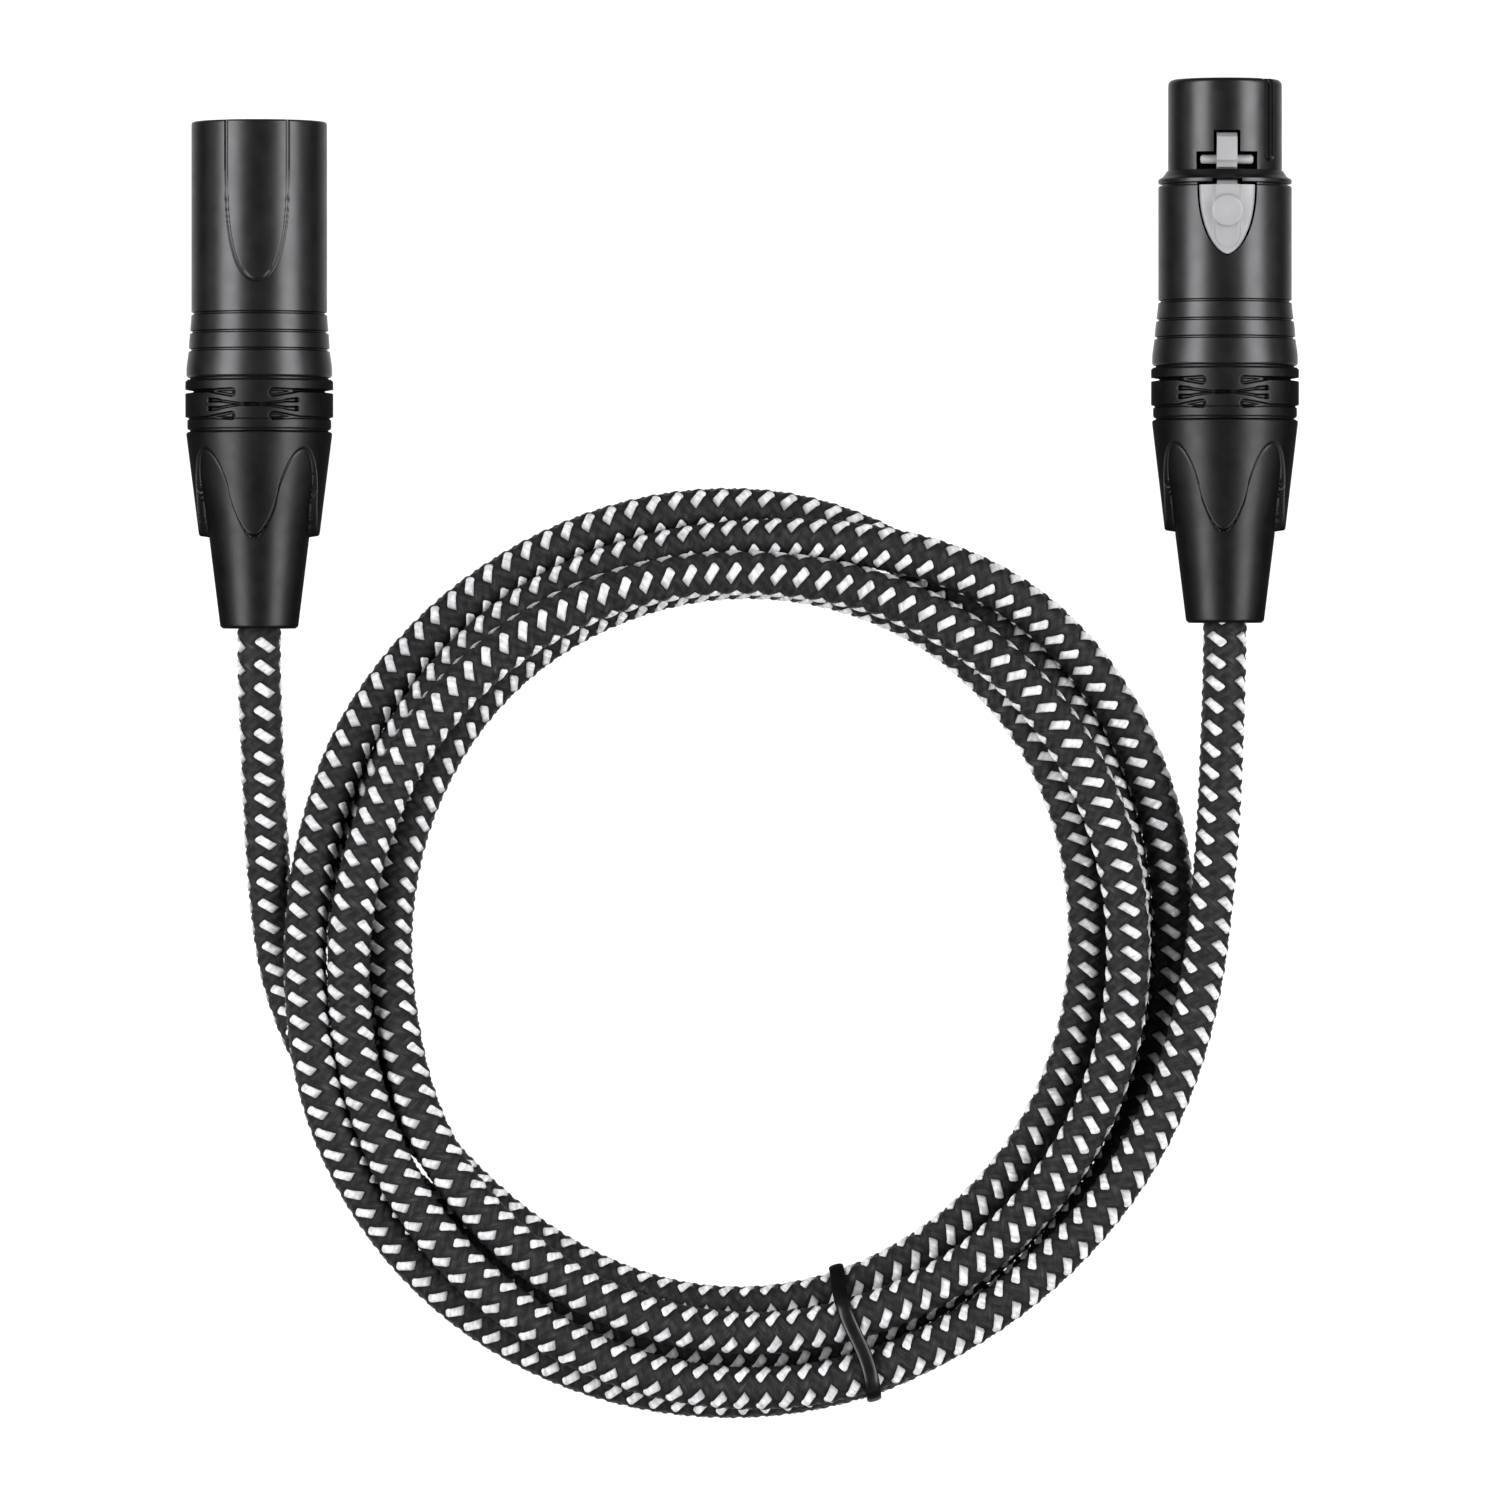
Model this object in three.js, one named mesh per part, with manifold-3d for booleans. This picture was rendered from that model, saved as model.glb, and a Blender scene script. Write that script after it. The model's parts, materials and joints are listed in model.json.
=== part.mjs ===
// Coiled microphone cable with a male and a female 3-pole XLR connector.
//
// Millimetres, +Z up. The origin is on the floor, midway between the two connectors.
// Both connectors lie along Y and point to +Y. Inside a connector a place along its axis
// is given as s, the distance back from its mating end, so y = -s in its own group.

import * as THREE from 'three';
import { mergeVertices } from 'three/addons/utils/BufferGeometryUtils.js';
import Module from 'manifold-3d';

const wasm = await Module();
wasm.setup();

// ---------------------------------------------------------------- driving dimensions

const GAP = 0.3;                 // clearance between neighbouring pieces
const AXIS_X = 67.6;             // distance of each connector's axis from the middle
const RING_R = 10.35;            // grip ring, the widest part, on which a connector rests
const AXIS_Z = RING_R;
const SIDES = 32;                // facets round a large turned piece
const SMALL_SIDES = 10;          // facets round a contact, a core or the cable

const CABLE_R = 3.0;
const CONTACT_CIRCLE_R = 4.05;   // the three contacts stand on a circle of 8.1 mm
const PIN_R = 1.2;
const SOCKET_R = 1.6;
const NOSE_R = 7.97;             // the female nose goes into the male barrel's bore
const NOSE_BORE_R = 7.1;
const BARREL_BORE_R = 8.15;
const REAR_BORE_R = 8.5;         // bore behind the insert, which takes the gland nut
const KEY_ANGLE = THREE.MathUtils.degToRad(49);

// front is the mating end's place along Y; the other lengths are distances back from it.
const MALE = { x: -AXIS_X, front: 32.5, shellEnd: 35.8, end: 70.9, bodyR: 9.5 };
const FEMALE = { x: AXIS_X, front: 38.4, shellEnd: 40.0, end: 76.0, bodyR: 9.34 };
const SHELL_END_R = 10.2;
const GROOVES_BEFORE_END = [8.95, 6.35, 3.85];
const GROOVE_WIDTH = 0.5;
const GROOVE_DEPTH = 0.3;

const GRIP_RING_LENGTH = 7.0;
const SHOULDER_BEFORE_END = 13.6;

const LATCH = { pivotS: 26.5, pivotZ: 5.9, pinR: 0.5, plateFront: 15.0, plateTip: 24.7, halfWidth: 3.87 };
const BUTTON = { s: 18.7, r: 2.2, top: 10.1 };
const CROSSBAR = { s: 11.4, z: 6.6, r: 0.62, halfLength: 3.7 };

const COIL = { y: -83, inner: 46.4, outer: 63.9, height: 11.6, stretchY: 1.036 };
const TIE = { angle: THREE.MathUtils.degToRad(-73.7), width: 2.1, thickness: 0.9 };

// The two free runs of the cable, from each boot to where the run lies in the coil.
const FEMALE_TAIL = [
  [67.6, -37.9, 10.35], [67.5, -44, 10.3], [67.3, -51, 10.0], [67.05, -58, 9.5],
  [66.8, -65, 8.9], [66.3, -72, 8.4], [65.6, -79, 8.1], [64.8, -86, 7.9],
];
const MALE_TAIL = [
  [-67.6, -38.7, 10.35], [-67.6, -45, 10.1], [-67.4, -52, 9.1], [-67.2, -59, 7.3],
  [-66.9, -66, 5.3], [-66.6, -73, 3.8], [-65.9, -80, 3.15], [-64.9, -87, 3.05],
];

// ---------------------------------------------------------------- materials

const material = (color, roughness, metalness) =>
  new THREE.MeshStandardMaterial({ color, roughness, metalness });

const finish = {
  blackMetal: () => material(0x1c1c1e, 0.38, 0.8),
  blackPlastic: () => material(0x202022, 0.55, 0),
  rubber: () => material(0x161617, 0.75, 0),
  nickel: () => material(0xb9b9ba, 0.3, 1),
  contact: () => material(0xd8c48a, 0.25, 1),
  steel: () => material(0x9a9a9e, 0.35, 1),
  braid: () => material(0x1a1a1b, 0.85, 0),
  red: () => material(0xa01818, 0.6, 0),
  white: () => material(0xe6e6e6, 0.6, 0),
  copper: () => material(0xb87346, 0.35, 1),
};

// ---------------------------------------------------------------- solids

// Round piece about its connector's axis, from its section given as [s, r] corners.
function turned(section, sides = SIDES) {
  const points = section.map(([s, r]) => new THREE.Vector2(r, -s));
  const touchesAxis = points.some((point) => point.x === 0);
  if (THREE.ShapeUtils.area(points) < 0) points.reverse();
  if (!touchesAxis) points.push(points[0].clone());
  return new THREE.LatheGeometry(points, sides);
}

function rod(radius, sFrom, sTo, sides = SMALL_SIDES) {
  return turned([[sFrom, 0], [sFrom, radius], [sTo, radius], [sTo, 0]], sides);
}

function block([x0, x1], [s0, s1], [z0, z1]) {
  const box = new THREE.BoxGeometry(x1 - x0, s1 - s0, z1 - z0);
  return box.translate((x0 + x1) / 2, -(s0 + s1) / 2, (z0 + z1) / 2);
}

// Cylinder along X, centred on the middle plane.
function crossRod(radius, halfLength, s, z) {
  const cylinder = new THREE.CylinderGeometry(radius, radius, 2 * halfLength, SMALL_SIDES);
  return cylinder.rotateZ(Math.PI / 2).translate(0, -s, z);
}

// Cylinder along Z.
function post(radius, s, z0, z1, sides = 20) {
  const cylinder = new THREE.CylinderGeometry(radius, radius, z1 - z0, sides);
  return cylinder.rotateX(Math.PI / 2).translate(0, -s, (z0 + z1) / 2);
}

// Plate of the half-ellipse outline that the latch and its window share.
function shield(halfWidth, sFront, sTip, z0, z1) {
  const steps = 14;
  const outline = [];
  for (let i = 0; i <= steps; i += 1) {
    const angle = Math.PI * (i / steps);
    const s = sFront + (sTip - sFront) * Math.sin(angle);
    outline.push(new THREE.Vector2(halfWidth * Math.cos(angle), -s));
  }
  const shape = new THREE.Shape(outline);
  const plate = new THREE.ExtrudeGeometry(shape, { depth: z1 - z0, bevelEnabled: false });
  return plate.translate(0, 0, z0);
}

// Bar of constant width across X, from its side view given as [s, z] corners.
function sideProfile(corners, halfWidth) {
  const outline = new THREE.Shape(corners.map(([s, z]) => new THREE.Vector2(-s, z)));
  const bar = new THREE.ExtrudeGeometry(outline, { depth: 2 * halfWidth, bevelEnabled: false });
  const axes = new THREE.Matrix4().makeBasis(
    new THREE.Vector3(0, 1, 0), new THREE.Vector3(0, 0, 1), new THREE.Vector3(1, 0, 0));
  return bar.applyMatrix4(axes).translate(-halfWidth, 0, 0);
}

function tube(points, radius, steps, sides = SMALL_SIDES) {
  const section = [];
  for (let i = 0; i < sides; i += 1) {
    const angle = 2 * Math.PI * (i / sides);
    section.push(new THREE.Vector2(radius * Math.cos(angle), radius * Math.sin(angle)));
  }
  const extrudePath = new THREE.CatmullRomCurve3(points.map((point) => new THREE.Vector3(...point)));
  const shape = new THREE.Shape(section);
  return new THREE.ExtrudeGeometry(shape, { steps, extrudePath, bevelEnabled: false });
}

// ---------------------------------------------------------------- joining and cutting

function solid(geometry) {
  const bare = geometry.clone();
  bare.deleteAttribute('normal');
  bare.deleteAttribute('uv');
  const merged = mergeVertices(bare, 1e-4);
  const triangles = [];
  for (let i = 0; i < merged.index.count; i += 3) {
    const [a, b, c] = [0, 1, 2].map((corner) => merged.index.getX(i + corner));
    if (a !== b && b !== c && c !== a) triangles.push(a, b, c);
  }
  return new wasm.Manifold(new wasm.Mesh({
    numProp: 3,
    vertProperties: new Float32Array(merged.attributes.position.array),
    triVerts: new Uint32Array(triangles),
  }));
}

function surface(manifold) {
  const { vertProperties, triVerts } = manifold.getMesh();
  const geometry = new THREE.BufferGeometry();
  geometry.setAttribute('position', new THREE.BufferAttribute(vertProperties, 3));
  geometry.setIndex(new THREE.BufferAttribute(triVerts, 1));
  geometry.computeVertexNormals();
  return geometry;
}

const cut = (body, ...tools) =>
  surface(tools.reduce((rest, tool) => rest.subtract(solid(tool)), solid(body)));
const join = (body, ...others) =>
  surface(others.reduce((sum, other) => sum.add(solid(other)), solid(body)));
const common = (body, other) => surface(solid(body).intersect(solid(other)));

// ---------------------------------------------------------------- both connectors

// Outer line of a shell from sFrom to its end: plain, then flared behind the first groove.
function shellOutline(connector, sFrom) {
  const { shellEnd, bodyR } = connector;
  const flareFrom = shellEnd - GROOVES_BEFORE_END[0];
  const radiusAt = (s) => {
    const flare = THREE.MathUtils.clamp((s - flareFrom) / (shellEnd - flareFrom), 0, 1);
    return bodyR + (SHELL_END_R - bodyR) * flare;
  };
  const outline = [[sFrom, bodyR]];
  for (const before of GROOVES_BEFORE_END) {
    const from = shellEnd - before - GROOVE_WIDTH / 2;
    const to = from + GROOVE_WIDTH;
    outline.push([from, radiusAt(from)], [from, radiusAt(from) - GROOVE_DEPTH]);
    outline.push([to, radiusAt(from) - GROOVE_DEPTH], [to, radiusAt(to)]);
  }
  outline.push([shellEnd, SHELL_END_R]);
  return outline;
}

function makeChuck({ shellEnd }) {
  const front = shellEnd - 10;
  const back = shellEnd - 0.8;
  const bore = CABLE_R + GAP;
  const sleeve = turned([[front, bore], [front, 6.2], [front + 5, 6.2], [back, 4.9], [back, bore]], 24);
  const slotWidth = 0.5;
  const slotS = [front + 2.5, back + 1];
  return cut(sleeve,
    block([-8, 8], slotS, [-slotWidth, slotWidth]),
    block([-slotWidth, slotWidth], slotS, [-8, 8]));
}

function makeGlandNut({ shellEnd }) {
  const thread = REAR_BORE_R - GAP;
  const neck = 9.0;
  const spigot = 6.2;
  const neckFrom = shellEnd + GAP;
  const neckTo = neckFrom + GRIP_RING_LENGTH;
  return turned([
    [shellEnd - 6.8, 6.5], [shellEnd - 6.8, thread], [neckFrom, thread], [neckFrom, neck],
    [neckTo, neck], [neckTo, spigot], [neckTo + 9, spigot], [neckTo + 9, CABLE_R + GAP],
    [shellEnd - 0.5, CABLE_R + GAP], [shellEnd - 0.5, 6.5],
  ], 24);
}

function makeGripRing({ shellEnd }) {
  const from = shellEnd + GAP;
  const to = from + GRIP_RING_LENGTH;
  const inner = 9.3;
  const slotR = 9.75;
  const outline = [[from, inner], [from, RING_R]];
  for (const slot of [1.8, 5.5]) {
    outline.push([from + slot - 0.25, RING_R], [from + slot - 0.25, slotR]);
    outline.push([from + slot + 0.25, slotR], [from + slot + 0.25, RING_R]);
  }
  outline.push([to, RING_R], [to, inner]);
  return turned(outline);
}

function makeBoot({ shellEnd, end }) {
  const from = shellEnd + GRIP_RING_LENGTH + 2 * GAP;
  const spigotPocket = from + 9;
  const shoulder = end - SHOULDER_BEFORE_END;
  return turned([
    [from, 6.5], [from, 10.26], [shoulder, 8.5], [shoulder + 0.4, 7.1],
    [end, 5.43], [end, CABLE_R + GAP], [spigotPocket, CABLE_R + GAP], [spigotPocket, 6.5],
  ]);
}

// Places of the three contacts across a connector's axis, as [x, z].
const CONTACT_PLACES = {
  left: [-CONTACT_CIRCLE_R, 0],
  right: [CONTACT_CIRCLE_R, 0],
  bottom: [0, -CONTACT_CIRCLE_R],
};

const contactHoles = (radius, sFrom, sTo) =>
  Object.values(CONTACT_PLACES).map(([x, z]) => rod(radius, sFrom, sTo).translate(x, 0, z));

// Stripped conductor from a solder cup to the end of the cable's jacket.
function makeCore([x, z], sCup, sJacket, radius) {
  const reach = 0.4;
  const straight = 0.7;
  return tube([
    [x, -sCup, z],
    [x, -sCup - straight, z],
    [x * reach, -sJacket + straight, z * reach],
    [x * reach, -sJacket, z * reach],
  ], radius, 6, 8);
}

const cableEnd = ({ shellEnd, end }) => rod(CABLE_R, shellEnd - 9.7, end);

// ---------------------------------------------------------------- male connector

const INSERT_FACE_S = 14.6;

function makeMaleShell() {
  const barrel = turned([
    ...shellOutline(MALE, 0), [MALE.shellEnd, REAR_BORE_R],
    [15, REAR_BORE_R], [15, BARREL_BORE_R], [0, BARREL_BORE_R],
  ]);
  const key = block([-0.6, 0.6], [1.2, INSERT_FACE_S - GAP], [7.0, 8.6]).rotateY(-KEY_ANGLE);
  return join(barrel, key);
}

function makeMaleInsert() {
  const body = turned([
    [INSERT_FACE_S, 0], [INSERT_FACE_S, BARREL_BORE_R - GAP], [15.3, BARREL_BORE_R - GAP],
    [15.3, REAR_BORE_R - GAP], [20, REAR_BORE_R - GAP], [20, 0],
  ], 24);
  return cut(body, ...contactHoles(PIN_R + GAP, 14, 21));
}

// Round-nosed pin with a solder cup at its back end.
function makePin() {
  const cupR = 0.8;
  return turned([
    [1.6, 0], [1.85, 0.7], [2.6, PIN_R], [22, PIN_R], [22, cupR], [20.4, cupR], [20.4, 0],
  ], SMALL_SIDES);
}

// ---------------------------------------------------------------- female connector

const INSERT_R = NOSE_BORE_R - GAP;
const NOSE_SPIGOT_END = 21;
const COLLAR_END = 14.6;

function makeFemaleNose() {
  const sleeve = turned([
    [0, NOSE_BORE_R], [0, 7.4], [0.3, 7.75], [0.8, NOSE_R], [12.8, NOSE_R], [12.8, 8.2], [13.6, 8.6],
    [14.0, FEMALE.bodyR], [COLLAR_END, FEMALE.bodyR], [COLLAR_END, REAR_BORE_R - GAP],
    [NOSE_SPIGOT_END, REAR_BORE_R - GAP], [NOSE_SPIGOT_END, NOSE_BORE_R],
  ]);
  return cut(sleeve,
    block([-1.8, 1.8], [7.35, 12.8], [6, 9]),
    block([-4.2, 4.2], [10.3, 12.8], [4, 9]),
    block([-4.5, 4.5], [COLLAR_END, NOSE_SPIGOT_END + 1], [4, 9]),
    block([-0.7, 0.7], [-1, 11.7], [6.5, 9]).rotateY(KEY_ANGLE));
}

function makeFemaleShell() {
  const from = COLLAR_END + GAP;
  const barrel = turned([
    ...shellOutline(FEMALE, from), [FEMALE.shellEnd, REAR_BORE_R], [from, REAR_BORE_R],
  ]);
  return cut(barrel, shield(LATCH.halfWidth + GAP, from - 0.1, LATCH.plateTip + 0.5, 5, 12));
}

function makeFemaleInsert() {
  const { pivotS, pivotZ, pinR } = LATCH;
  const backFace = 22;
  const ears = [-1, 1].map((side) => {
    const edges = [side * 2.8, side * 3.9].sort((a, b) => a - b);
    return block(edges, [21.4, pivotS + 1.4], [4.3, 7.0]);
  });
  const body = join(rod(INSERT_R, 0.4, backFace, 24), ...ears);
  return cut(body, ...contactHoles(SOCKET_R + GAP, 0, 23),
    block([-1.8, 1.8], [7.2, 16.6], [3.9, 9]),
    block([-4.1, 4.1], [CROSSBAR.s - 1.2, CROSSBAR.s + 1.4], [4.3, 9]),
    block([-4.7, 4.7], [14, backFace - 0.6], [5.4, 9]),
    block([-2.7, 2.7], [backFace - 0.7, backFace + 1], [5.2, 9]),
    post(1.6, BUTTON.s, 2.2, 9),
    crossRod(pinR + GAP, 6, pivotS, pivotZ));
}

// Sleeve contact: open bore in front for the pin, solder cup behind.
function makeSocket() {
  const boreR = PIN_R + 0.05;
  const cupR = 1.0;
  return turned([
    [16.2, 0], [16, boreR], [1.2, boreR], [1.2, SOCKET_R],
    [25, SOCKET_R], [25, cupR], [23.2, cupR], [23.2, 0],
  ], SMALL_SIDES);
}

// One lever: locking tongue with its crossbar, plate with ridge and button, eye round the pin.
function makeLatch() {
  const { pivotS, pivotZ, pinR, plateFront, plateTip, halfWidth } = LATCH;
  const plateBottom = 7.6;
  const round = rod(FEMALE.bodyR - 0.04, plateFront - 1, plateTip + 1, SIDES);
  const plate = common(shield(halfWidth, plateFront, plateTip, plateBottom, 12), round);
  const ridge = common(shield(halfWidth - 0.3, plateFront, plateTip - 0.3, plateBottom + 0.2, 9.6),
    block([-1.95, 1.95], [plateFront, plateTip], [plateBottom, 12]));
  const tongue = sideProfile([
    [7.65, 5.8], [7.65, 7.3], [8.4, 8.5], [11.6, 8.5], [11.6, 7.6], [12.5, 7.6], [12.5, 6.8],
    [plateFront, 6.8], [plateFront, 8.2], [17, 8.2], [17, 7.2], [15.6, 5.8],
  ], 1.4);
  const backArm = sideProfile([
    [21.5, 8.0], [24.5, 8.0], [27.2, 6.7], [26.5, 4.9], [25.3, 5.6], [24.2, 6.7], [21.5, 7.1],
  ], 2.35);
  const lever = join(plate, ridge, post(BUTTON.r, BUTTON.s, 8, BUTTON.top), tongue, backArm,
    crossRod(CROSSBAR.r, CROSSBAR.halfLength, CROSSBAR.s, CROSSBAR.z), crossRod(1.3, 2.35, pivotS, pivotZ));
  return cut(lever, crossRod(pinR + GAP, 4, pivotS, pivotZ));
}

// Compression spring in the insert's well, under the button.
function makeLatchSpring() {
  const turns = 3.5;
  const [bottom, top, radius, wireR] = [2.75, 7.05, 1.0, 0.22];
  const stepsPerTurn = 9;
  const points = [];
  for (let i = 0; i <= turns * stepsPerTurn; i += 1) {
    const angle = 2 * Math.PI * (i / stepsPerTurn);
    const height = bottom + (top - bottom) * (i / (turns * stepsPerTurn));
    points.push([radius * Math.cos(angle), -BUTTON.s + radius * Math.sin(angle), height]);
  }
  return tube(points, wireR, 36, 6);
}

// ---------------------------------------------------------------- cable

// Where the tie crosses the coil: its section plane, as a frame with X pointing outwards.
function atTie(geometry) {
  return geometry.rotateZ(TIE.angle).translate(0, COIL.y, 0);
}

function tieRadii() {
  const stretch = Math.hypot(Math.cos(TIE.angle), COIL.stretchY * Math.sin(TIE.angle));
  return [COIL.inner * stretch, COIL.outer * stretch];
}

// Plate standing across the coil, from the corners of its outline as [radius, z].
function standingPlate(corners, thickness) {
  const shape = new THREE.Shape(corners.map(([radius, z]) => new THREE.Vector2(radius, z)));
  const plate = new THREE.ExtrudeGeometry(shape, { depth: thickness, bevelEnabled: false });
  return plate.translate(0, 0, -thickness / 2).rotateX(Math.PI / 2);
}

// Section of the wound turns: flat below and rounded off above.
function coilSection(inner, outer, base, height) {
  const lower = height * 0.5;
  return [
    [inner, base], [outer, base], [outer, lower],
    [outer - 3.2, height], [inner + 3.2, height], [inner, lower],
  ];
}

function makeCoil() {
  const section = coilSection(COIL.inner, COIL.outer, 0, COIL.height);
  const points = section.map(([radius, z]) => new THREE.Vector2(radius, z));
  const ring = new THREE.LatheGeometry([...points, points[0].clone()], 48);
  ring.rotateX(Math.PI / 2).scale(1, COIL.stretchY, 1).translate(0, COIL.y, 0);
  const [inner, outer] = tieRadii();
  const passage = standingPlate(
    [[inner - 4, -1], [outer + 4, -1], [outer + 4, TIE.thickness + GAP], [inner - 4, TIE.thickness + GAP]],
    TIE.width + 2 * GAP);
  const runs = [FEMALE_TAIL, MALE_TAIL].map((run) => tube(extended(run), CABLE_R + GAP, 8));
  return cut(ring, atTie(passage), ...runs);
}

// The same run, made longer by the gap, so that its pocket stays clear of its end face.
function extended(points) {
  const [before, last] = points.slice(-2).map((point) => new THREE.Vector3(...point));
  const beyond = last.clone().add(last.clone().sub(before).setLength(GAP));
  return [...points, beyond.toArray()];
}

function makeTie() {
  const { width, thickness } = TIE;
  const [inner, outer] = tieRadii();
  const window = coilSection(inner - GAP, outer + GAP, thickness, COIL.height + GAP);
  const room = GAP + thickness;
  const rim = coilSection(inner - room, outer + room, 0, COIL.height + room);
  return atTie(cut(standingPlate(rim, width), standingPlate(window, width + 2)));
}

// ---------------------------------------------------------------- assembly

const object = new THREE.Group();

function add(parent, name, geometry, surfaceFinish) {
  const mesh = new THREE.Mesh(geometry, surfaceFinish());
  mesh.name = name;
  parent.add(mesh);
  return mesh;
}

function addConnector({ x, front }) {
  const group = new THREE.Group();
  group.position.set(x, front, AXIS_Z);
  object.add(group);
  return group;
}

function addCableEntry(group, prefix, connector, cupEnd, [hot, cold, drain]) {
  add(group, `${prefix}_chuck`, makeChuck(connector), finish.blackPlastic);
  add(group, `${prefix}_gland_nut`, makeGlandNut(connector), finish.blackPlastic);
  add(group, `${prefix}_grip_ring`, makeGripRing(connector), finish.blackPlastic);
  add(group, `${prefix}_boot`, makeBoot(connector), finish.rubber);
  add(group, `${prefix}_cable_end`, cableEnd(connector), finish.braid);
  const jacket = connector.shellEnd - 9.7 - GAP;
  add(group, `${prefix}_core_hot`, makeCore(hot, cupEnd, jacket, 0.75), finish.red);
  add(group, `${prefix}_core_cold`, makeCore(cold, cupEnd, jacket, 0.75), finish.white);
  add(group, `${prefix}_shield_drain`, makeCore(drain, cupEnd, jacket, 0.55), finish.copper);
}

function addContacts(group, name, makeContact, places) {
  places.forEach(([x, z], i) => {
    const contact = add(group, `${name}_${i + 1}`, makeContact(), finish.contact);
    contact.position.set(x, 0, z);
  });
}

// Contact 1 carries the shield, 2 the hot core and 3 the cold core.
const { left, right, bottom } = CONTACT_PLACES;

const male = addConnector(MALE);
add(male, 'male_shell', makeMaleShell(), finish.blackMetal);
add(male, 'male_insert', makeMaleInsert(), finish.blackPlastic);
addContacts(male, 'male_pin', makePin, [right, left, bottom]);
addCableEntry(male, 'male', MALE, 22 + GAP, [left, bottom, right]);

const female = addConnector(FEMALE);
add(female, 'female_nose', makeFemaleNose(), finish.blackMetal);
add(female, 'female_shell', makeFemaleShell(), finish.blackMetal);
add(female, 'female_insert', makeFemaleInsert(), finish.blackPlastic);
addContacts(female, 'female_socket', makeSocket, [left, right, bottom]);
add(female, 'female_latch', makeLatch(), finish.nickel);
add(female, 'female_latch_pin', crossRod(LATCH.pinR, 4.2, LATCH.pivotS, LATCH.pivotZ), finish.steel);
add(female, 'female_latch_spring', makeLatchSpring(), finish.steel);
addCableEntry(female, 'female', FEMALE, 25 + GAP, [right, bottom, left]);

add(object, 'cable_coil', makeCoil(), finish.braid);
add(object, 'cable_tail_female', tube(FEMALE_TAIL, CABLE_R, 6), finish.braid);
add(object, 'cable_tail_male', tube(MALE_TAIL, CABLE_R, 6), finish.braid);
add(object, 'coil_tie', makeTie(), finish.rubber);

export default object;
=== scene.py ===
"""Looks of the coiled microphone cable: camera, cord, connectors, materials and light.

Places and sizes are in millimetres until a mesh is made, and MM turns them into metres.
Inside a connector, s is the distance back from its mating end, x and z are measured from
its axis, and theta is the angle round the axis, 0 at the top and positive towards +X.
"""
import json
import math

import bpy
import numpy as np
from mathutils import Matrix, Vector


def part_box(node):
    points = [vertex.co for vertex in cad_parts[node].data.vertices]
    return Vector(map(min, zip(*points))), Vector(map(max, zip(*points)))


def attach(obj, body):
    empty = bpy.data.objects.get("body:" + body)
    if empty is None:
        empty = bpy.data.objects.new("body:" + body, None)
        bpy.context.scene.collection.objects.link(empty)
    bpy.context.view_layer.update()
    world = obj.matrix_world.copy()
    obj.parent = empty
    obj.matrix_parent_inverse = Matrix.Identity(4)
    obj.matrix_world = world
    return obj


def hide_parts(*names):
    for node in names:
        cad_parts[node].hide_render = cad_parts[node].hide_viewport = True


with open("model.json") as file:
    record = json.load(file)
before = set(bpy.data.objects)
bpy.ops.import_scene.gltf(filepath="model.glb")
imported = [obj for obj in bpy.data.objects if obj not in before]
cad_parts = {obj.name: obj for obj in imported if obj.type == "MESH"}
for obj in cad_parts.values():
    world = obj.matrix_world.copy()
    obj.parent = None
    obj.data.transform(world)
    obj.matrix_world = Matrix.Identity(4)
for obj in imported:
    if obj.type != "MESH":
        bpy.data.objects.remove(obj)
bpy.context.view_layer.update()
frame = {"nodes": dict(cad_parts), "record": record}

MM = 0.001

# ---- places from the frame


def box_mm(node):
    low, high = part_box(node)
    return np.array(low) / MM, np.array(high) / MM


class Connector:
    """One connector's axis and the lengths along it, from its CAD nodes."""

    def __init__(self, prefix, front_node):
        self.prefix = prefix
        boot_low, boot_high = box_mm(prefix + "_boot")
        ring_low, ring_high = box_mm(prefix + "_grip_ring")
        self.x = (boot_low[0] + boot_high[0]) / 2
        self.z = (ring_low[2] + ring_high[2]) / 2
        self.front = box_mm(front_node)[1][1]
        self.shell_end = self.front - box_mm(prefix + "_shell")[0][1]
        self.ring = (self.front - ring_high[1], self.front - ring_low[1])
        self.boot = (self.front - boot_high[1], self.front - boot_low[1])

    def world(self, x, s, z):
        """World places of local ones; the three arrays broadcast."""
        return np.stack(np.broadcast_arrays(self.x + x, self.front - s, self.z + z), axis=-1)

    def round_world(self, s, theta, radius):
        return self.world(radius * np.sin(theta), s, radius * np.cos(theta))


MALE = Connector("male", "male_shell")
FEMALE = Connector("female", "female_nose")
COIL_LOW, COIL_HIGH = box_mm("cable_coil")
COIL_Y = (COIL_LOW[1] + COIL_HIGH[1]) / 2

def add_object(name, data):
    thing = bpy.data.objects.new(name, data)
    bpy.context.scene.collection.objects.link(thing)
    return thing


# ---- camera

VIEW_WIDTH = 210.0
VIEW_CENTRE = (1.1, -55.4)
CAMERA_HEIGHT = 1800.0  # above the connectors' axes
SENSOR = 36.0
CLIP_METRES = (0.05, 20)


def make_camera():
    camera = add_object("camera", bpy.data.cameras.new("camera"))
    camera.location = (VIEW_CENTRE[0] * MM, VIEW_CENTRE[1] * MM, (CAMERA_HEIGHT + MALE.z) * MM)
    camera.data.sensor_width = SENSOR
    camera.data.lens = SENSOR * CAMERA_HEIGHT / VIEW_WIDTH
    camera.data.clip_start, camera.data.clip_end = CLIP_METRES
    bpy.context.scene.camera = camera


# ---- mesh helpers

# Edges sharper than this many degrees stay sharp in a plain loft, a sleeve and a cut piece.
SHARP_LOFT, SHARP_SLEEVE, SHARP_CUT = 40, 75, 30


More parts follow.
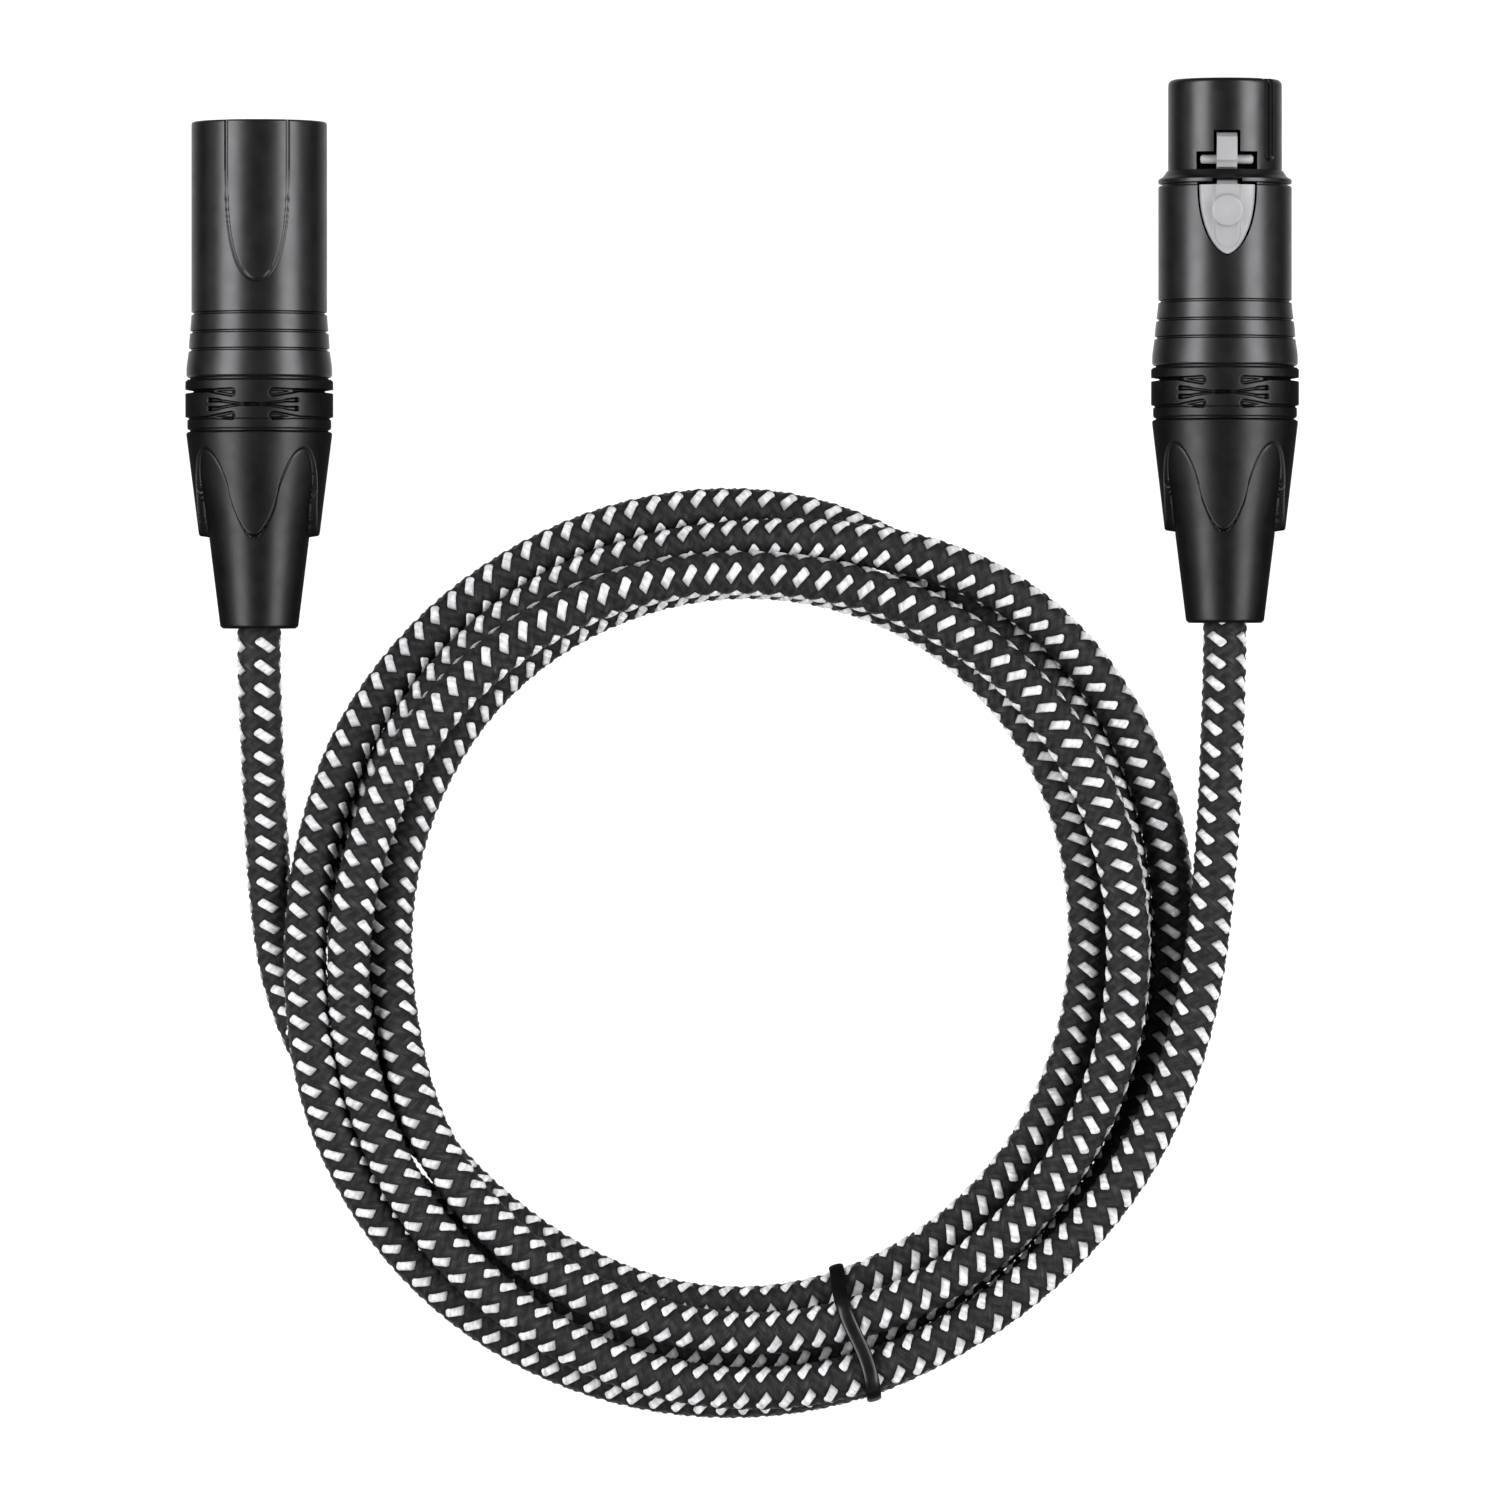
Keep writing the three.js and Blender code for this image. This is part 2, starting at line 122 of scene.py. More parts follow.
def make_object(name, vertices, faces, smooth_below=None):
    """Adds a mesh given in millimetres. Edges sharper than smooth_below degrees stay sharp."""
    mesh = bpy.data.meshes.new(name)
    mesh.from_pydata((np.asarray(vertices, float) * MM).tolist(), [], faces)
    mesh.shade_smooth()
    if smooth_below is not None:
        mesh.set_sharp_from_angle(angle=math.radians(smooth_below))
    return add_object(name, mesh)


def inside_out(vertices, faces):
    """Whether a closed mesh's faces point inwards, from the sign of its volume."""
    centre = vertices.mean(0)
    volume = 0.0
    for size in {len(face) for face in faces}:
        corners = vertices[np.array([face for face in faces if len(face) == size])] - centre
        for k in range(1, size - 1):
            normals = np.cross(corners[:, k], corners[:, k + 1])
            volume += np.einsum("ij,ij->", corners[:, 0], normals)
    return volume < 0


def skin(lower, upper):
    """Quads between the vertex numbers of closed loops and those of the next loops."""
    quads = np.stack([lower, np.roll(lower, -1, 1), np.roll(upper, -1, 1), upper], axis=-1)
    return quads.reshape(-1, 4)


def loft(name, loops, ring=False, smooth_below=SHARP_LOFT):
    """Closed skin over a row of closed loops; its ends are capped, or joined if it is a ring."""
    loops = np.asarray(loops, float)
    rows, columns = loops.shape[:2]
    index = np.arange(rows * columns).reshape(rows, columns)
    upper = np.roll(index, -1, axis=0) if ring else index[1:]
    lower = index if ring else index[:-1]
    faces = skin(lower, upper).tolist()
    if not ring:
        faces += [index[0][::-1].tolist(), index[-1].tolist()]
    vertices = loops.reshape(-1, 3)
    if inside_out(vertices, faces):
        faces = [face[::-1] for face in faces]
    return make_object(name, vertices, faces, smooth_below)


def smoothstep(low, high, value):
    t = np.clip((value - low) / (high - low), 0, 1)
    return t * t * (3 - 2 * t)


def circle(count):
    """Angles right round, evenly spaced."""
    return np.linspace(0, math.tau, count, endpoint=False)


def unit(vectors):
    return vectors / np.linalg.norm(vectors, axis=1)[:, None]


def travelled(points, power=1):
    """How far each point lies along their line, with every step raised to a power."""
    return np.r_[0, np.cumsum(np.linalg.norm(np.diff(points[:, :3], axis=0), axis=1) ** power)]


def even_line(points, spacing):
    """Points every spacing along the straight lines between points, with further columns."""
    points = np.asarray(points, float)
    along = travelled(points)
    wanted = np.linspace(0, along[-1], int(round(along[-1] / spacing)) + 1)
    return np.stack([np.interp(wanted, along, column) for column in points.T], axis=1)


def angle_steps(fine_ranges, fine, coarse):
    """Angles right round in degrees, close together inside fine_ranges, returned in radians."""
    angles = [-180.0]
    while angles[-1] < 180:
        near = any(low <= angles[-1] < high for low, high in fine_ranges)
        angles.append(angles[-1] + (fine if near else coarse))
    return np.radians(np.array(angles[:-1]))


def turned(name, connector, section, sides, x=0.0, z=0.0):
    """Round solid from its section's [s, r] corners, capped flat at the first and the last."""
    s, radius = np.array(section, float).T[:, :, None]
    theta = circle(sides)
    loops = connector.world(x + radius * np.sin(theta), s, z + radius * np.cos(theta))
    return loft(name, loops)


def sleeve(name, connector, outside, inside, theta, relief=lambda s, theta: 0.0):
    """Closed sleeve whose outside, a dense [s, r] line, is carved inwards by relief(s, theta)."""
    s, radius = outside.T[:, :, None]
    outer = connector.round_world(s, theta, radius - relief(s, theta))
    s, radius = np.array(inside, float)[::-1].T[:, :, None]
    inner = connector.round_world(s, theta, radius)
    loops = np.concatenate([outer, inner])
    return loft(name, loops, ring=True, smooth_below=SHARP_SLEEVE)


def prism(outline, z0, z1):
    """Upright prism in the female connector, over an [x, s] outline."""
    x, s = np.array(outline, float).T
    return loft("part", [FEMALE.world(x, s, z) for z in (z0, z1)])


def block(x_range, s_range, z_range):
    (x0, x1), (s0, s1) = x_range, s_range
    return prism([(x0, s0), (x1, s0), (x1, s1), (x0, s1)], *z_range)


def side_bar(outline, half_width):
    """Bar across X over an [s, z] outline."""
    s, z = np.array(outline, float).T
    return loft("part", [FEMALE.world(x, s, z) for x in (-half_width, half_width)])


def cross_rod(radius, half_length, s, z):
    """Rod across X with softened ends."""
    theta = circle(32)
    soft = min(0.3, radius / 2)
    ends = [(half_length, radius - soft), (half_length - soft / 2, radius - soft / 4),
            (half_length - soft, radius)]
    rings = [(-x, r) for x, r in ends] + ends[::-1]
    loops = [FEMALE.world(x, s + r * np.cos(theta), z + r * np.sin(theta)) for x, r in rings]
    return loft("part", loops)


def combine(piece, operation, *others):
    """Cuts or joins the other pieces into this one and removes them."""
    for other in others:
        modifier = piece.modifiers.new(operation, "BOOLEAN")
        modifier.operation = operation
        modifier.solver = "EXACT"
        modifier.object = other
    bpy.context.view_layer.update()
    result = piece.evaluated_get(bpy.context.evaluated_depsgraph_get())
    mesh = bpy.data.meshes.new_from_object(result)
    piece.modifiers.clear()
    piece.data = mesh
    for other in others:
        bpy.data.objects.remove(other, do_unlink=True)
    mesh.shade_smooth()
    mesh.set_sharp_from_angle(angle=math.radians(SHARP_CUT))


# ---- materials

NOISE_RANGE = (0.3, 0.7)  # most of a noise's values lie between these
CLOUD_SCALE, GLOSS_SCALE = 180, 420
FILAMENT_STRETCH = 0.6  # noise scale along a yarn
MOTTLE_SCALE, MOTTLE_SHARE = 1.3, 0.8
FILAMENT_DEPTH = 0.00006


def set_inputs(node, **values):
    for name, value in values.items():
        node.inputs[name.replace("_", " ")].default_value = value


class Nodes:
    """A node tree, with short calls for what the materials and the world need."""

    def __init__(self, tree):
        self.tree = tree

    def add(self, kind, source=None, socket=None, **values):
        """New node with constants on its inputs, and a source linked to one of its sockets."""
        node = self.tree.nodes.new("ShaderNode" + kind)
        set_inputs(node, **values)
        if source:
            self.tree.links.new(source, node.inputs[socket])
        return node

    def math(self, operation, *sources):
        node = self.add("Math")
        node.operation = operation
        for source, socket in zip(sources, node.inputs):
            self.tree.links.new(source, socket)
        return node.outputs["Value"]

    def spread(self, source, low, high, value_low, value_high):
        """Maps the range from low to high to that between the two values."""
        node = self.add("MapRange", source, "Value", From_Min=low, From_Max=high,
                        To_Min=value_low, To_Max=value_high)
        return node.outputs["Result"]


class MaterialNodes(Nodes):
    """A new material's nodes: noises, and what feeds its shader."""

    def __init__(self, name):
        self.material = bpy.data.materials.new(name)
        self.material.use_nodes = True
        super().__init__(self.material.node_tree)
        self.shader = self.tree.nodes["Principled BSDF"]
        self.coordinates = self.add("TexCoord").outputs["Object"]

    def feed(self, output, name):
        self.tree.links.new(output, self.shader.inputs[name])

    def noise(self, scale, detail, stretch=None):
        vector = self.coordinates
        if stretch:
            vector = self.add("Mapping", vector, "Vector", Scale=stretch).outputs["Vector"]
        return self.add("TexNoise", vector, "Vector", Scale=scale, Detail=detail).outputs["Fac"]

    def ramp(self, noise, value_from, value_to):
        return self.spread(noise, *NOISE_RANGE, value_from, value_to)

    def colours(self, factor, first, second):
        node = self.add("Mix")
        node.data_type = "RGBA"
        set_inputs(node, A=(*first, 1), B=(*second, 1))
        self.tree.links.new(factor, node.inputs["Factor"])
        return node.outputs["Result"]

    def bump(self, height, distance):
        self.feed(self.add("Bump", height, "Height", Distance=distance).outputs["Normal"], "Normal")


def surface(name, dark, light, roughness, grain, grain_depth, specular=0.5, **values):
    """Opaque solid with faint colour clouds, uneven gloss and a fine surface grain."""
    nodes = MaterialNodes(name)
    clouds = nodes.ramp(nodes.noise(CLOUD_SCALE, 4), 0, 1)
    nodes.feed(nodes.colours(clouds, dark, light), "Base Color")
    nodes.feed(nodes.ramp(nodes.noise(GLOSS_SCALE, 3), *roughness), "Roughness")
    nodes.bump(nodes.noise(grain, 2), grain_depth)
    set_inputs(nodes.shader, Specular_IOR_Level=specular, **values)
    return nodes.material


def yarn(name, dark, light, contrast, fineness, roughness, specular):
    """Woven yarn: filaments run along each bundle, which the yarn map's V axis follows.

    The crown attribute is 1 where a bundle stands proud and 0 where it dives under another; it darkens the
    colour there as painted shade, and carries painted highlights.
    """
    nodes = MaterialNodes(name)
    map_node = nodes.add("UVMap")
    map_node.uv_map = "yarn"
    nodes.coordinates = map_node.outputs["UV"]
    crown = nodes.add("Attribute")
    crown.attribute_name = "crown"
    filaments = nodes.noise(1.0, 3, stretch=(fineness, FILAMENT_STRETCH, 1.0))
    mottle = nodes.noise(MOTTLE_SCALE, 2)
    streaks = nodes.ramp(filaments, 1 - contrast, 1)
    shade = nodes.math("MULTIPLY", streaks, nodes.ramp(mottle, 1 - MOTTLE_SHARE * contrast, 1))
    # painted shade and highlight: the colour is scaled by the crown attribute
    shade = nodes.math("MULTIPLY", shade, crown.outputs["Fac"])
    nodes.feed(nodes.colours(shade, dark, light), "Base Color")
    nodes.feed(nodes.ramp(filaments, *roughness), "Roughness")
    nodes.bump(filaments, FILAMENT_DEPTH)
    set_inputs(nodes.shader, Specular_IOR_Level=specular)
    return nodes.material


def grey(value):
    return (value, value, value * 1.03)


METAL = {"Metallic": 1.0}
# Black coats mirror the lamps faintly and evenly; lacquer has a paler rim, rubber has none.
LACQUER = {"Metallic": 0.95, "Specular_Tint": (0.6, 0.6, 0.6, 1)}
COAT = {"Metallic": 0.95, "Specular_Tint": (0.04, 0.04, 0.04, 1)}
GLOW_WHITE = {"specular": 0.05, "Emission_Color": (1, 1, 1, 1), "Emission_Strength": 1.0}

# Slot, material name, darkest and lightest colour, least and most roughness, the grain's
# scale and its depth in metres, and further values.
SURFACES = [
    ("black_shell", "shell_black", grey(0.04), grey(0.047), (0.31, 0.37), 5200, 3e-6, LACQUER),
    ("black_plastic", "plastic_black", grey(0.02), grey(0.03), (0.5, 0.6), 3000, 6e-6, COAT),
    ("grip_ring", "ring_black", grey(0.024), grey(0.031), (0.35, 0.42), 4200, 4e-6, COAT),
    ("contact_plating", "plating", (0.62, 0.5, 0.26), (0.75, 0.62, 0.36), (0.22, 0.34), 2600, 3e-6, METAL),
    ("latch_nickel", "satin_nickel", grey(0.22), grey(0.27), (0.5, 0.6), 3800, 4e-6, {"Metallic": 0.15}),
    ("spring_steel", "steel", grey(0.4), grey(0.5), (0.3, 0.4), 3000, 3e-6, METAL),
    ("boot_rubber", "boot_rubber", grey(0.022), grey(0.027), (0.36, 0.43), 3400, 6e-6, COAT),
    ("tie_rubber", "tie_rubber", grey(0.032), grey(0.04), (0.3, 0.4), 2400, 1e-5, COAT),
    ("core_red", "core_red", (0.32, 0.012, 0.012), (0.42, 0.02, 0.018), (0.45, 0.6), 2000, 6e-6, {}),
    ("core_white", "core_white", grey(0.68), grey(0.76), (0.45, 0.6), 2000, 6e-6, {}),
    ("copper", "copper", (0.55, 0.26, 0.13), (0.68, 0.36, 0.2), (0.3, 0.42), 2600, 1e-5, METAL),
    ("cable_jacket", "jacket_black", grey(0.008), grey(0.02), (0.5, 0.7), 1500, 2e-5, {"specular": 0.2}),
    ("floor", "floor_white", grey(0.11), grey(0.13), (0.8, 0.9), 300, 1e-5, GLOW_WHITE),
]

# Every finish by its slot's name, and the white yarn, the cable's jacket and the floor.
FINISHES = {slot: surface(*values, **further) for slot, *values, further in SURFACES}
FINISHES["cable_braid"] = yarn("black_yarn", grey(0.003), grey(0.055), 0.9, 8.0, (0.5, 0.7), 0.12)
FINISHES["cable_tracer"] = yarn("white_yarn", grey(0.05), grey(0.8), 0.5, 2.4, (0.45, 0.65), 0.3)


def paint(piece, finish):
    piece.data.materials.clear()
    piece.data.materials.append(FINISHES[finish])


def paint_cad_nodes():
    """Gives each CAD node its slot's finish; the cable's CAD solids get a plain jacket."""
    for part in frame["record"]["subparts"]:
        slot = part["material_slot"]
        paint(frame["nodes"][part["node"]], "cable_jacket" if slot == "cable_braid" else slot)


def finish_piece(piece, body, slot, *nodes, finish=None):
    """Paints a piece with its slot's finish or the one given, puts it under its body's empty, and hides the
    CAD nodes that it stands for.
    """
    paint(piece, finish or slot)
    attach(piece, body)
    if nodes:
        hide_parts(*nodes)


# ---- cord: route

CABLE_R = 3.0
IN_BOOT = 1.5  # the braid runs on this far inside each boot
YARN_PROUD = 0.18  # room for the weave outside the cable's radius
POINTS_PER_TURN = 32
EIGHTHS = 8
WINDING_TRIM = (0.35, 0.3)  # eighths left out after the first station and before the last

# The two free runs, as in the CAD model.
TAIL_FEMALE = [
    (67.6, -37.9, 10.35), (67.5, -44, 10.3), (67.3, -51, 10.0), (67.05, -58, 9.5),
    (66.8, -65, 8.9), (66.3, -72, 8.4), (65.6, -79, 8.1), (64.8, -86, 7.9),
]
TAIL_MALE = [
    (-67.6, -38.7, 10.35), (-67.6, -45, 10.1), (-67.4, -52, 9.1), (-67.2, -59, 7.3),
    (-66.9, -66, 5.3), (-66.6, -73, 3.8), (-65.9, -80, 3.15), (-64.9, -87, 3.05),
]

# Each turn at its eighths, clockwise from the right: distance from the coil's middle,
# height, and the side that a row of white yarns faces, in degrees from the top, inwards.
TURNS = [
    [(64.7, 7.9, 48), (62.15, 8.9, 48), (62.1, 8.8, 48), (59.3, 9.6, 48),
     (55.3, 9.0, 47), (54.0, 10.0, 74), (52.8, 10.6, 90), (54.2, 9.0, 86)],
    [(54.4, 9.0, 82), (54.9, 8.9, 78), (54.4, 8.3, 48), (52.4, 8.8, 54),
     (49.7, 3.4, 40), (51.2, 3.0, 44), (52.2, 3.0, 70), (52.0, 3.0, 85)],
    [(49.25, 3.0, 90), (49.75, 3.0, 88), (51.2, 3.0, 66), (51.0, 3.0, 54),
     (55.6, 3.0, 48), (56.8, 5.0, 44), (57.0, 7.0, 40), (62.6, 5.0, 22)],
    [(60.6, 3.4, 8), (61.5, 3.0, -10), (63.5, 3.0, -28), (63.9, 6.6, -28),
     (61.5, 7.2, -28), (61.8, 3.0, -35), (61.6, 3.0, -40), (57.3, 3.0, -44)],
    [(55.1, 3.0, -42), (55.7, 3.0, -38), (57.4, 3.0, -32), (57.2, 3.0, -30), (65.3, 3.0, -6)],
]
BOOT_FACING = (20, 27)  # where a row faces at the female and at the male boot


def cubic(t, first, second, slope_first, slope_second):
    """Hermite curve from first to second as t goes from 0 to 1."""
    return ((2 * t**3 - 3 * t**2 + 1) * first + (t**3 - 2 * t**2 + t) * slope_first
            + (3 * t**2 - 2 * t**3) * second + (t**3 - t**2) * slope_second)


def hermite(values, position):
    """Smooth curve through equally spaced values, at a position counted in their steps."""
    values = np.asarray(values, float)
    before = int(np.clip(math.floor(position), 0, len(values) - 2))
    t = position - before
    slopes = np.gradient(values)
    return cubic(t, values[before], values[before + 1], slopes[before], slopes[before + 1])


def coil_points():
    """The wound turns as rows of x, y, z and facing, from just past the right to the left."""
    stations = [station for turn in TURNS for station in turn]
    radii, heights, facings = zip(*stations)
    rows = []
    last = len(stations) - 1
    for step in np.arange(WINDING_TRIM[0], last - WINDING_TRIM[1], EIGHTHS / POINTS_PER_TURN):
        angle = -math.tau * step / EIGHTHS
        radius = hermite(radii, step)
        rows.append((radius * math.cos(angle), COIL_Y + radius * math.sin(angle),
                     hermite(heights, step), hermite(facings, step)))
    return rows


FINE_PER_POINT = 24


def resampled(points, spacing):
    """Points every spacing along a smooth curve through points, with further columns."""
    points = np.asarray(points, float)
    knots = travelled(points, 0.5)
    slopes = np.gradient(points, knots, axis=0)
    fine = np.linspace(0, knots[-1], len(points) * FINE_PER_POINT)
    i = np.clip(np.searchsorted(knots, fine, "right") - 1, 0, len(knots) - 2)
    width = (knots[i + 1] - knots[i])[:, None]
    t = (fine[:, None] - knots[i][:, None]) / width
    curve = cubic(t, points[i], points[i + 1], width * slopes[i], width * slopes[i + 1])
    return even_line(curve, spacing)


TIE_ANGLE = math.radians(-73.7)
TIE_WIDTH, TIE_THICKNESS = 2.1, 0.9
TIE_ALONG = np.array([-math.sin(TIE_ANGLE), math.cos(TIE_ANGLE), 0])
TIE_OUTWARD = np.array([math.cos(TIE_ANGLE), math.sin(TIE_ANGLE), 0])
COIL_CENTRE = np.array([0, COIL_Y, 0])
TIE_BUMP = 7  # how far along the cable the tie lifts it


def floor_height(points):
    """What the cable lies on: the floor, with the tie's lower run as a low bump."""
    offset = points - COIL_CENTRE
    near = np.exp(-((offset @ TIE_ALONG) / TIE_BUMP) ** 2) * (offset @ TIE_OUTWARD > 0)
    return TIE_THICKNESS * near


SETTLING_ROUNDS = 70
OWN_STRETCH = 12  # points this close along the cable don't push each other
PUSH = np.array([0.32, 0.32, 0.55])  # share of an overlap that one round undoes, by axis
PULL_STRAIGHT = 0.22
PULL_HOME = (0.05, 0.05, 0.01)


def settled(points, held):
    """Pushes turns that lie in each other apart, mostly upwards, and rests them on the floor."""
    points = points.copy()
    home = points.copy()
    index = np.arange(len(points))
    others = np.abs(index[:, None] - index[None, :]) > OWN_STRETCH
    for _ in range(SETTLING_ROUNDS):
        offsets = points[:, None, :] - points[None, :, :]
        distances = np.sqrt((offsets**2).sum(-1)) + 1e-6
        overlap = np.where(others, np.clip(2 * CABLE_R - distances, 0, None), 0)
        points += (offsets * (overlap / distances)[..., None]).sum(1) * PUSH
        points[1:-1] += PULL_STRAIGHT * (points[:-2] + points[2:] - 2 * points[1:-1])
        points += (home - points) * PULL_HOME
        points[:, 2] = np.maximum(points[:, 2], CABLE_R + YARN_PROUD + floor_height(points))
        points[held] = home[held]
    return points


COARSE_SPACING, FINE_SPACING = 2.0, 0.5
HELD_FROM_Y, HELD_FROM_X = -60, 60  # the free runs stay put near the connectors


def make_route():
    """The whole cable's centreline and facing, from inside the female boot to inside the male."""
    ends = [np.array(tail[0]) + (0, IN_BOOT, 0) for tail in (TAIL_FEMALE, TAIL_MALE)]
    winding = coil_points()
    run_in = [ends[0], *TAIL_FEMALE]
    run_out = [*reversed(TAIL_MALE), ends[1]]
    facing_in = np.linspace(BOOT_FACING[0], winding[0][3], len(run_in))
    facing_out = np.linspace(winding[-1][3], BOOT_FACING[1], len(run_out))
    rough = [(*point, facing) for point, facing in zip(run_in, facing_in)] + winding
    rough += [(*point, facing) for point, facing in zip(run_out, facing_out)]
    coarse = resampled(rough, COARSE_SPACING)
    held = (coarse[:, 1] > HELD_FROM_Y) & (np.abs(coarse[:, 0]) > HELD_FROM_X)
    coarse[:, :3] = settled(coarse[:, :3], held)
    return resampled(coarse, FINE_SPACING)


# ---- cord: braid

CARRIERS = 16  # bundles round the braid, half of them each way
CROSSING_PITCH = 0.77  # from one crossing to the next along the cable
BUNDLE_STEPS = 3  # mesh steps from one crossing to the next
REPEAT = 4  # crossings after which the weave repeats: over two, under two
YARN_BASE = -0.32  # height of a bundle's sides above the cable's surface
YARN_HEIGHT = 0.42
YARN_END_DIP = 0.85  # share of a bundle's height lost where it dives under
WHITE_DIP = 0.06  # the weave lies this much lower under the white patches
TOP_PAINTED_LIGHT, MIDWAY_PAINTED_HIGHLIGHT, MIDWAY_WIDTH = 0.6, 0.6, 0.55  # painted light: black yarn is lit on its bundles' tops, and palest in a painted highlight between patch rows


class Wrap:
    """The cable's route, with the directions round it and the facing of its yarn rows."""

    def __init__(self, route):
        self.route = route[:, :3]
        self.facing = np.radians(route[:, 3])
        self.along = travelled(self.route)
        self.length = self.along[-1]
        tangents = unit(np.gradient(self.route, axis=0))
        self.up = unit(np.array([0, 0, 1.0]) - tangents * tangents[:, 2:])
        self.inward = np.cross(tangents, self.up)

    def at(self, v, columns):
        return np.stack([np.interp(v, self.along, column) for column in columns.T], axis=-1)

    def weave(self, a, b, height):
        """Places points of the weave's lattice, whose axes run across the two sets of yarns."""
        v = (a + b) * CROSSING_PITCH
        turn = (a - b + 0.5) / CARRIERS * math.tau
        angle = (turn + np.interp(v, self.along, self.facing))[..., None]
        radius = (CABLE_R + height)[..., None]
        round_it = np.cos(angle) * self.at(v, self.up) + np.sin(angle) * self.at(v, self.inward)
        return self.at(v, self.route) + radius * round_it


def woven(a, b):
    """The weave at lattice point (a, b): height, crown, and whether the first set is on top; the crown is
    painted shade where a bundle dives under and a painted highlight between patch rows.
    """
    i, j = np.floor(a + 0.5), np.floor(b + 0.5)
    phase = np.mod(i + j, REPEAT)
    first_on_top = phase < REPEAT / 2
    across = np.where(first_on_top, a - i, b - j)
    half_way = np.where(np.mod(phase, 2) == 0, 0.5, -0.5)
    along = np.where(first_on_top, b - j, a - i) - half_way
    dome = (1 - (2 * across) ** 2) * (1 - YARN_END_DIP * along**4)
    white = first_on_top & (np.mod(i, 2) == 0)
    height = YARN_BASE + YARN_HEIGHT * dome - np.where(white, WHITE_DIP, 0.0)
    # Painted shade: the black yarn's colour darkens where a bundle dives under; painted highlight midway
    # between the white rows.
    from_midway = np.abs(np.mod(a - b + 0.5, REPEAT) - REPEAT / 2)
    midway_highlight = np.exp(-((from_midway / MIDWAY_WIDTH) ** 2))
    crown = np.clip(dome, 0, 1) * (TOP_PAINTED_LIGHT + MIDWAY_PAINTED_HIGHLIGHT * midway_highlight) * ~white
    return height, crown, first_on_top


def braid_faces(rows, per_row):
    """Diamonds that lie along the yarns, with a cap on each end."""
    row = np.arange(rows - 2)[:, None]
    j = np.arange(per_row)[None, :]
    right = (j + row % 2) % per_row
    left = (j + row % 2 - 1) % per_row
    corners = [row * per_row + j, (row + 1) * per_row + right,
               (row + 2) * per_row + j, (row + 1) * per_row + left]
    faces = np.stack(corners, axis=-1).reshape(-1, 4).tolist()
    for base in (0, rows - 2):
        zigzag = []
        for k in range(per_row):
            zigzag += [base * per_row + k, (base + 1) * per_row + (k + base % 2) % per_row]
        faces.append(zigzag if base else zigzag[::-1])
    return faces


def yarn_map(mesh, a, b, first, crown):
    """UV map that runs across and along whichever yarn lies on top at each face, and its crown, the painted
    shade and highlight.
    """
    mesh.attributes.new("crown", "FLOAT", "POINT").data.foreach_set("value", crown)
    layer = mesh.uv_layers.new(name="yarn")
    corners = np.empty(len(mesh.loops), int)
    mesh.loops.foreach_get("vertex_index", corners)
    sizes = np.empty(len(mesh.polygons), int)
    mesh.polygons.foreach_get("loop_total", sizes)
    starts = np.r_[0, np.cumsum(sizes)[:-1]]
    top = np.repeat(first[corners[starts]], sizes)
    across = np.where(top, a[corners], b[corners])
    along = np.where(top, b[corners], a[corners])
    layer.data.foreach_set("uv", np.stack([across, along], axis=1).ravel())


def make_braid(wrap):
    """The black yarns as one closed woven tube."""
    rows = int(wrap.length / CROSSING_PITCH * BUNDLE_STEPS)
    per_row = CARRIERS // 2 * BUNDLE_STEPS
    m = np.repeat(np.arange(rows), per_row)
    n = m % 2 + 2 * np.tile(np.arange(per_row), rows)
    a = (m + n) / (2 * BUNDLE_STEPS)
    b = (m - n) / (2 * BUNDLE_STEPS)
    height, crown, first = woven(a, b)
    braid = make_object("cable_braid", wrap.weave(a, b, height), braid_faces(rows, per_row))
    yarn_map(braid.data, a, b, first, crown)
    return braid


TRACER_ROWS = 4
PAD_HALF = (0.5, 1.04)  # half width and half length of a white patch, in crossings
# The share of each half that a corner's rounding takes: most corners, and the two outer tips.
PAD_CORNER, PAD_SHARP_TIP, PAD_BLUNT_TIP = (0.3, 0.16), (0.12, 0.06), (0.75, 0.36)
PAD_BEVEL = 3.5  # a rounding's middle lies this many times closer to the corner
PAD_RINGS = (1.0, 0.95, 0.62, 0.25)  # loops of a patch as shares of its outline
PAD_RIM, PAD_CROWN, PAD_FOOT = 0.06, 0.11, 0.32
# Brightness of a patch's grey end, painted shade where its yarn dives under, and where along its half length
# it brightens.
PAD_SHADED_END, PAD_SHADE_TO_LIT = 0.25, (-1.1, -0.3)


def pad_outline():
    """Outline of a white patch: a bundle's width by two crossings, with rounded corners."""
    points = []
    quarters = [(1, 1, PAD_CORNER), (-1, 1, PAD_BLUNT_TIP), (-1, -1, PAD_CORNER), (1, -1, PAD_SHARP_TIP)]
    for sx, sy, (turn_in, turn_along) in quarters:
        middle = (1 - turn_in / PAD_BEVEL, 1 - turn_along / PAD_BEVEL)
        corner = [(1, 1 - turn_along), middle, (1 - turn_in, 1)]
        points += [(sx * x, sy * y) for x, y in corner[:: sx * sy]]
    return np.array(points).T * np.array(PAD_HALF)[:, None]


